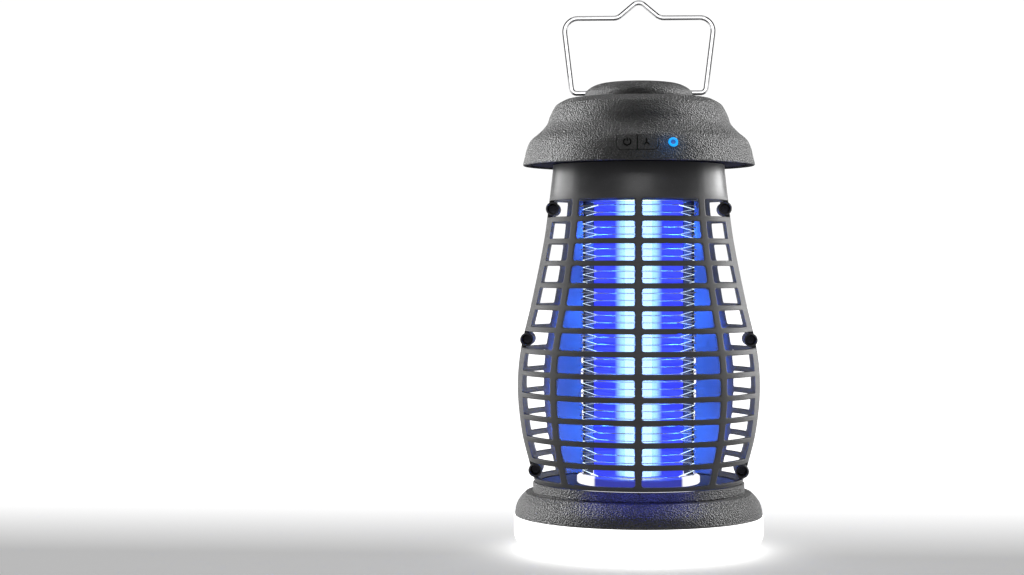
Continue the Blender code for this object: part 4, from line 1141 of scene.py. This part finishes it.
def build_grid():
    """Two windings of level turns that step up behind the rear post."""
    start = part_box("grid_wire_live")[0].z + 0.45 * MM
    for name, lift in (("grid_wire_live", 0.0), ("grid_wire_neutral", GRID_PITCH / 2.0)):
        points = []
        for index in range(GRID_TURNS * STEPS_PER_TURN - STEPS_PER_TURN // 4 + 1):
            turn, part = divmod(index, STEPS_PER_TURN)
            rise = max(0.0, part / STEPS_PER_TURN - 0.75) * 4.0
            angle = 2.0 * math.pi * (part / STEPS_PER_TURN + 0.375)
            points.append(on_grid(angle, start + lift + GRID_PITCH * (turn + rise)))
        tube(name + "_winding", points, GRID_WIRE, WIRE_STEEL, "upper", (name,), resolution=2)
    count = 2 * GRID_TURNS
    for side, mirror in (("right", 1.0), ("left", -1.0)):
        points = []
        for index in range(count):
            level = start + GRID_PITCH / 2.0 * index
            for tooth_angle, height in ((TOOTH_ANGLES[1], level), (TOOTH_ANGLES[0], level + GRID_PITCH / 4.0)):
                x, y, z = on_grid(-tooth_angle, height)
                points.append((mirror * x, y, z))
        # the keepers' bright zigzag is painted glint: emission on bare wire
        tube(f"wire_keeper_{side}", points[:-1], TOOTH_WIRE, PAINTED_GLINT_WIRE, "upper", resolution=2)


# ------------------------------------------------------------------ stage, lights and camera

OBJECT_MIDDLE = Vector((0.0, 0.0, 0.13))
LAMP_BLUE = (0.06, 0.09, 1.0)
LAMP_GLOW = (0.03, 0.16, 1.0)
GLOW_RING = 25.5 * MM
BRIM_GLOW_RING = 54.0
SHOULDER_GLOW_RING = 60.0


def build_floor():
    """Pale seamless floor with light painted on as emission, rising towards the back so it brightens into the
    backdrop behind the lantern.
    """
    t = Tree("pale_floor")
    cloud = t.noise(30.0, 3.0)
    t.set(Base_Color=t.ramp(cloud, [(0.3, grey(0.6)), (0.7, grey(0.615))]), Roughness=0.8,
          Specular_IOR_Level=0.2, Emission_Color=(1.0, 1.0, 1.0, 1.0),
          Emission_Strength=t.span(t.split()["Y"], 0.37, 1.3, -0.02, 0.3),
          Normal=t.bump(t.noise(900.0, 2.0), 0.03, 0.0002))
    bm = bmesh.new()
    bmesh.ops.create_grid(bm, x_segments=24, y_segments=24, size=6.0)
    floor = loose("floor", bm)
    floor.data.materials.append(t.material)
    bpy.context.scene.collection.objects.link(floor)


def area_light(name, place, size, energy):
    light = bpy.data.lights.new(name, "AREA")
    light.shape = "RECTANGLE"
    light.size, light.size_y = size
    light.energy = energy
    item = bpy.data.objects.new(name, light)
    item.location = place
    item.rotation_euler = (OBJECT_MIDDLE - Vector(place)).to_track_quat("-Z", "Y").to_euler()
    bpy.context.scene.collection.objects.link(item)
    return item


def lit_set(name, chosen):
    """Collection of the meshes a light may reach."""
    group = bpy.data.collections.new(name)
    for item in bpy.context.scene.collection.all_objects:
        if item.type == "MESH" and chosen(item):
            group.objects.link(item)
    return group


def made_of(item, *materials):
    return any(slot.material in materials for slot in item.material_slots)


def glow_point(name, spot, energy, colour, receivers, kind="POINT"):
    """Small hidden light that stands for glow the lamp throws on its surroundings."""
    light = bpy.data.lights.new(name, kind)
    light.energy = energy
    light.color = colour
    light.shadow_soft_size = 0.004
    item = bpy.data.objects.new(name, light)
    item.location = spot
    item.visible_camera = False
    item.light_linking.receiver_collection = receivers
    bpy.context.scene.collection.objects.link(item)
    item.parent = frame["bodies"]["upper"]
    return item


def build_lights():
    lantern = lit_set("whole_lantern", lambda item: item.name != "floor" and not made_of(item, CHROME))
    satin = lit_set("smooth_plastic", lambda item: made_of(item, SATIN))
    grained = lit_set("grained_plastic", lambda item: made_of(item, GRAIN, KEY))
    everything = lit_set("whole_scene", lambda item: True)
    chromed = lit_set("chromed_wire", lambda item: made_of(item, CHROME))
    for name, place, size, energy, group in (
            ("left_strip", (-0.72, 0.34, 0.4), (0.35, 0.9), 19.0, grained),
            ("right_strip", (0.72, 0.34, 0.5), (0.35, 0.9), 17.0, grained),
            ("left_side", (-0.75, 0.2, 0.35), (0.3, 0.9), 3.5, satin),
            ("right_side", (0.75, 0.2, 0.35), (0.3, 0.9), 3.5, satin),
            ("left_back", (-0.65, 0.5, 0.3), (0.3, 0.8), 3.5, satin),
            ("right_back", (0.65, 0.5, 0.3), (0.3, 0.8), 6.5, satin),
            ("wire_front", (0.0, -0.9, 0.3), (2.0, 1.2), 14.0, chromed),
            ("front_soft", (0.0, -1.5, 0.9), (0.9, 0.4), 6.0, lantern),
            ("top_soft", (0.0, -0.2, 1.2), (0.9, 0.5), 1.6, everything)):
        area_light(name, place, size, energy).light_linking.receiver_collection = group
    halo_on = lit_set("around_indicator", lambda item: item.name in ("hat_shell_skin", "mode_button_cap"))
    front_half = lit_set("front_half", lambda item: item.name == "cage_front_skin")
    rear_half = lit_set("rear_half", lambda item: item.name == "cage_rear_skin")
    outer = ("floor", "cage_", "base_", "hat_")
    inside = lit_set("inside_guard", lambda item: not item.name.startswith(outer))
    for index in range(3):
        level = (60.0 + 48.0 * index) * MM
        for corner in range(4):
            angle = math.radians(45.0 + 90.0 * corner)
            spot = Vector((GLOW_RING * math.cos(angle), GLOW_RING * math.sin(angle), level))
            glow_point(f"lamp_glow_{index}_{corner}", spot, 0.06, LAMP_GLOW, inside)
            glow_point(f"front_glow_{index}_{corner}", spot, 0.01, LAMP_BLUE, front_half)
        for side in (-1.0, 1.0):
            spot = Vector((6.0 * MM * side, 23.0 * MM, level))
            glow = glow_point(f"rear_glow_{index}_{side:.0f}", spot, 0.42, LAMP_GLOW, rear_half, "SPOT")
            glow.data.spot_size = math.radians(162.0)
            glow.data.spot_blend = 0.15
            glow.rotation_euler = (math.radians(90.0), 0.0, 0.0)
    glow_point("indicator_halo", lens_axis() + CONTROL_OUT * 2.5 * MM, 0.003, (0.01, 0.3, 1.0), halo_on)
    shoulder = bpy.data.collections.new("lit_shoulder")
    shoulder.objects.link(bpy.data.objects["base_ring_skin"])
    for index, x in enumerate((-24.0, -8.0, 8.0, 24.0)):
        spot = Vector((x, -math.sqrt(SHOULDER_GLOW_RING ** 2 - x ** 2), 37.0)) * MM
        glow_point(f"shoulder_glow_{index}", spot, 0.008, LAMP_BLUE, shoulder)
    brim = bpy.data.collections.new("lit_brim")
    brim.objects.link(bpy.data.objects["hat_shell_skin"])
    brim.objects.link(frame["nodes"]["hat_base_plate"])
    for index in range(8):
        angle = math.radians(22.5 + 45.0 * index)
        spot = Vector((BRIM_GLOW_RING * math.cos(angle), BRIM_GLOW_RING * math.sin(angle), 184.0)) * MM
        glow_point(f"brim_glow_{index}", spot, 0.003, LAMP_BLUE, brim)


def build_world():
    """Bright sweep behind, softer light in front, and dark flanks between them."""
    world = bpy.data.worlds.new("studio")
    bpy.context.scene.world = world
    world.use_nodes = True
    tree = world.node_tree
    background = tree.nodes["Background"]
    coord = tree.nodes.new("ShaderNodeTexCoord")
    split = tree.nodes.new("ShaderNodeSeparateXYZ")
    tree.links.new(coord.outputs["Generated"], split.inputs["Vector"])
    spread = tree.nodes.new("ShaderNodeMapRange")
    for socket, number in zip(spread.inputs[1:5], (-1.0, 1.0, 0.0, 1.0)):
        socket.default_value = number
    tree.links.new(split.outputs["Y"], spread.inputs["Value"])
    ramp = tree.nodes.new("ShaderNodeValToRGB")
    tree.links.new(spread.outputs["Result"], ramp.inputs["Fac"])
    stops = ((0.0, 0.55), (0.05, 0.5), (0.13, 0.25), (0.25, 0.18), (0.38, 0.45), (0.44, 0.6),
             (0.51, 0.06), (0.955, 0.06), (0.967, 1.0))
    fill_ramp(ramp.color_ramp, stops)
    rise = tree.nodes.new("ShaderNodeValToRGB")
    tree.links.new(split.outputs["Z"], rise.inputs["Fac"])
    fill_ramp(rise.color_ramp, ((0.16, 1.0), (0.45, 0.4), (0.9, 0.3)))
    both = tree.nodes.new("ShaderNodeMix")
    both.data_type = "RGBA"
    both.blend_type = "MULTIPLY"
    both.inputs["Factor"].default_value = 1.0
    tree.links.new(ramp.outputs["Color"], both.inputs[6])
    tree.links.new(rise.outputs["Color"], both.inputs[7])
    tree.links.new(both.outputs[2], background.inputs["Color"])
    background.inputs["Strength"].default_value = 1.05


def fill_ramp(ramp, stops):
    while len(ramp.elements) < len(stops):
        ramp.elements.new(0.5)
    for element, (position, value) in zip(ramp.elements, stops):
        element.position = position
        element.color = (value, value, value, 1.0)


CAMERA_DISTANCE = 1.012
EYE_HEIGHT = 0.144
PITCH = math.radians(0.645)
YAW = math.radians(3.62)


def build_camera():
    data = bpy.data.cameras.new("camera")
    data.lens = 70.3
    data.sensor_width = 36.0
    data.clip_start = 0.01
    item = bpy.data.objects.new("camera", data)
    item.location = (0.0, -CAMERA_DISTANCE, EYE_HEIGHT)
    item.rotation_euler = (math.radians(90.0) - PITCH, 0.0, YAW)
    bpy.context.scene.collection.objects.link(item)
    bpy.context.scene.camera = item


finish_cad_nodes()
build_guard_half("cage_front", True)
build_guard_half("cage_rear", False)
build_hat()
build_buttons()
build_marks()
build_indicator()
build_port_cover()
build_dome()
build_handle()
build_base_ring()
build_lantern()
build_tray()
build_lamp()
build_holders()
build_posts()
build_grid()
build_floor()
build_lights()
build_world()
build_camera()
bpy.context.scene.view_settings.view_transform = "Standard"
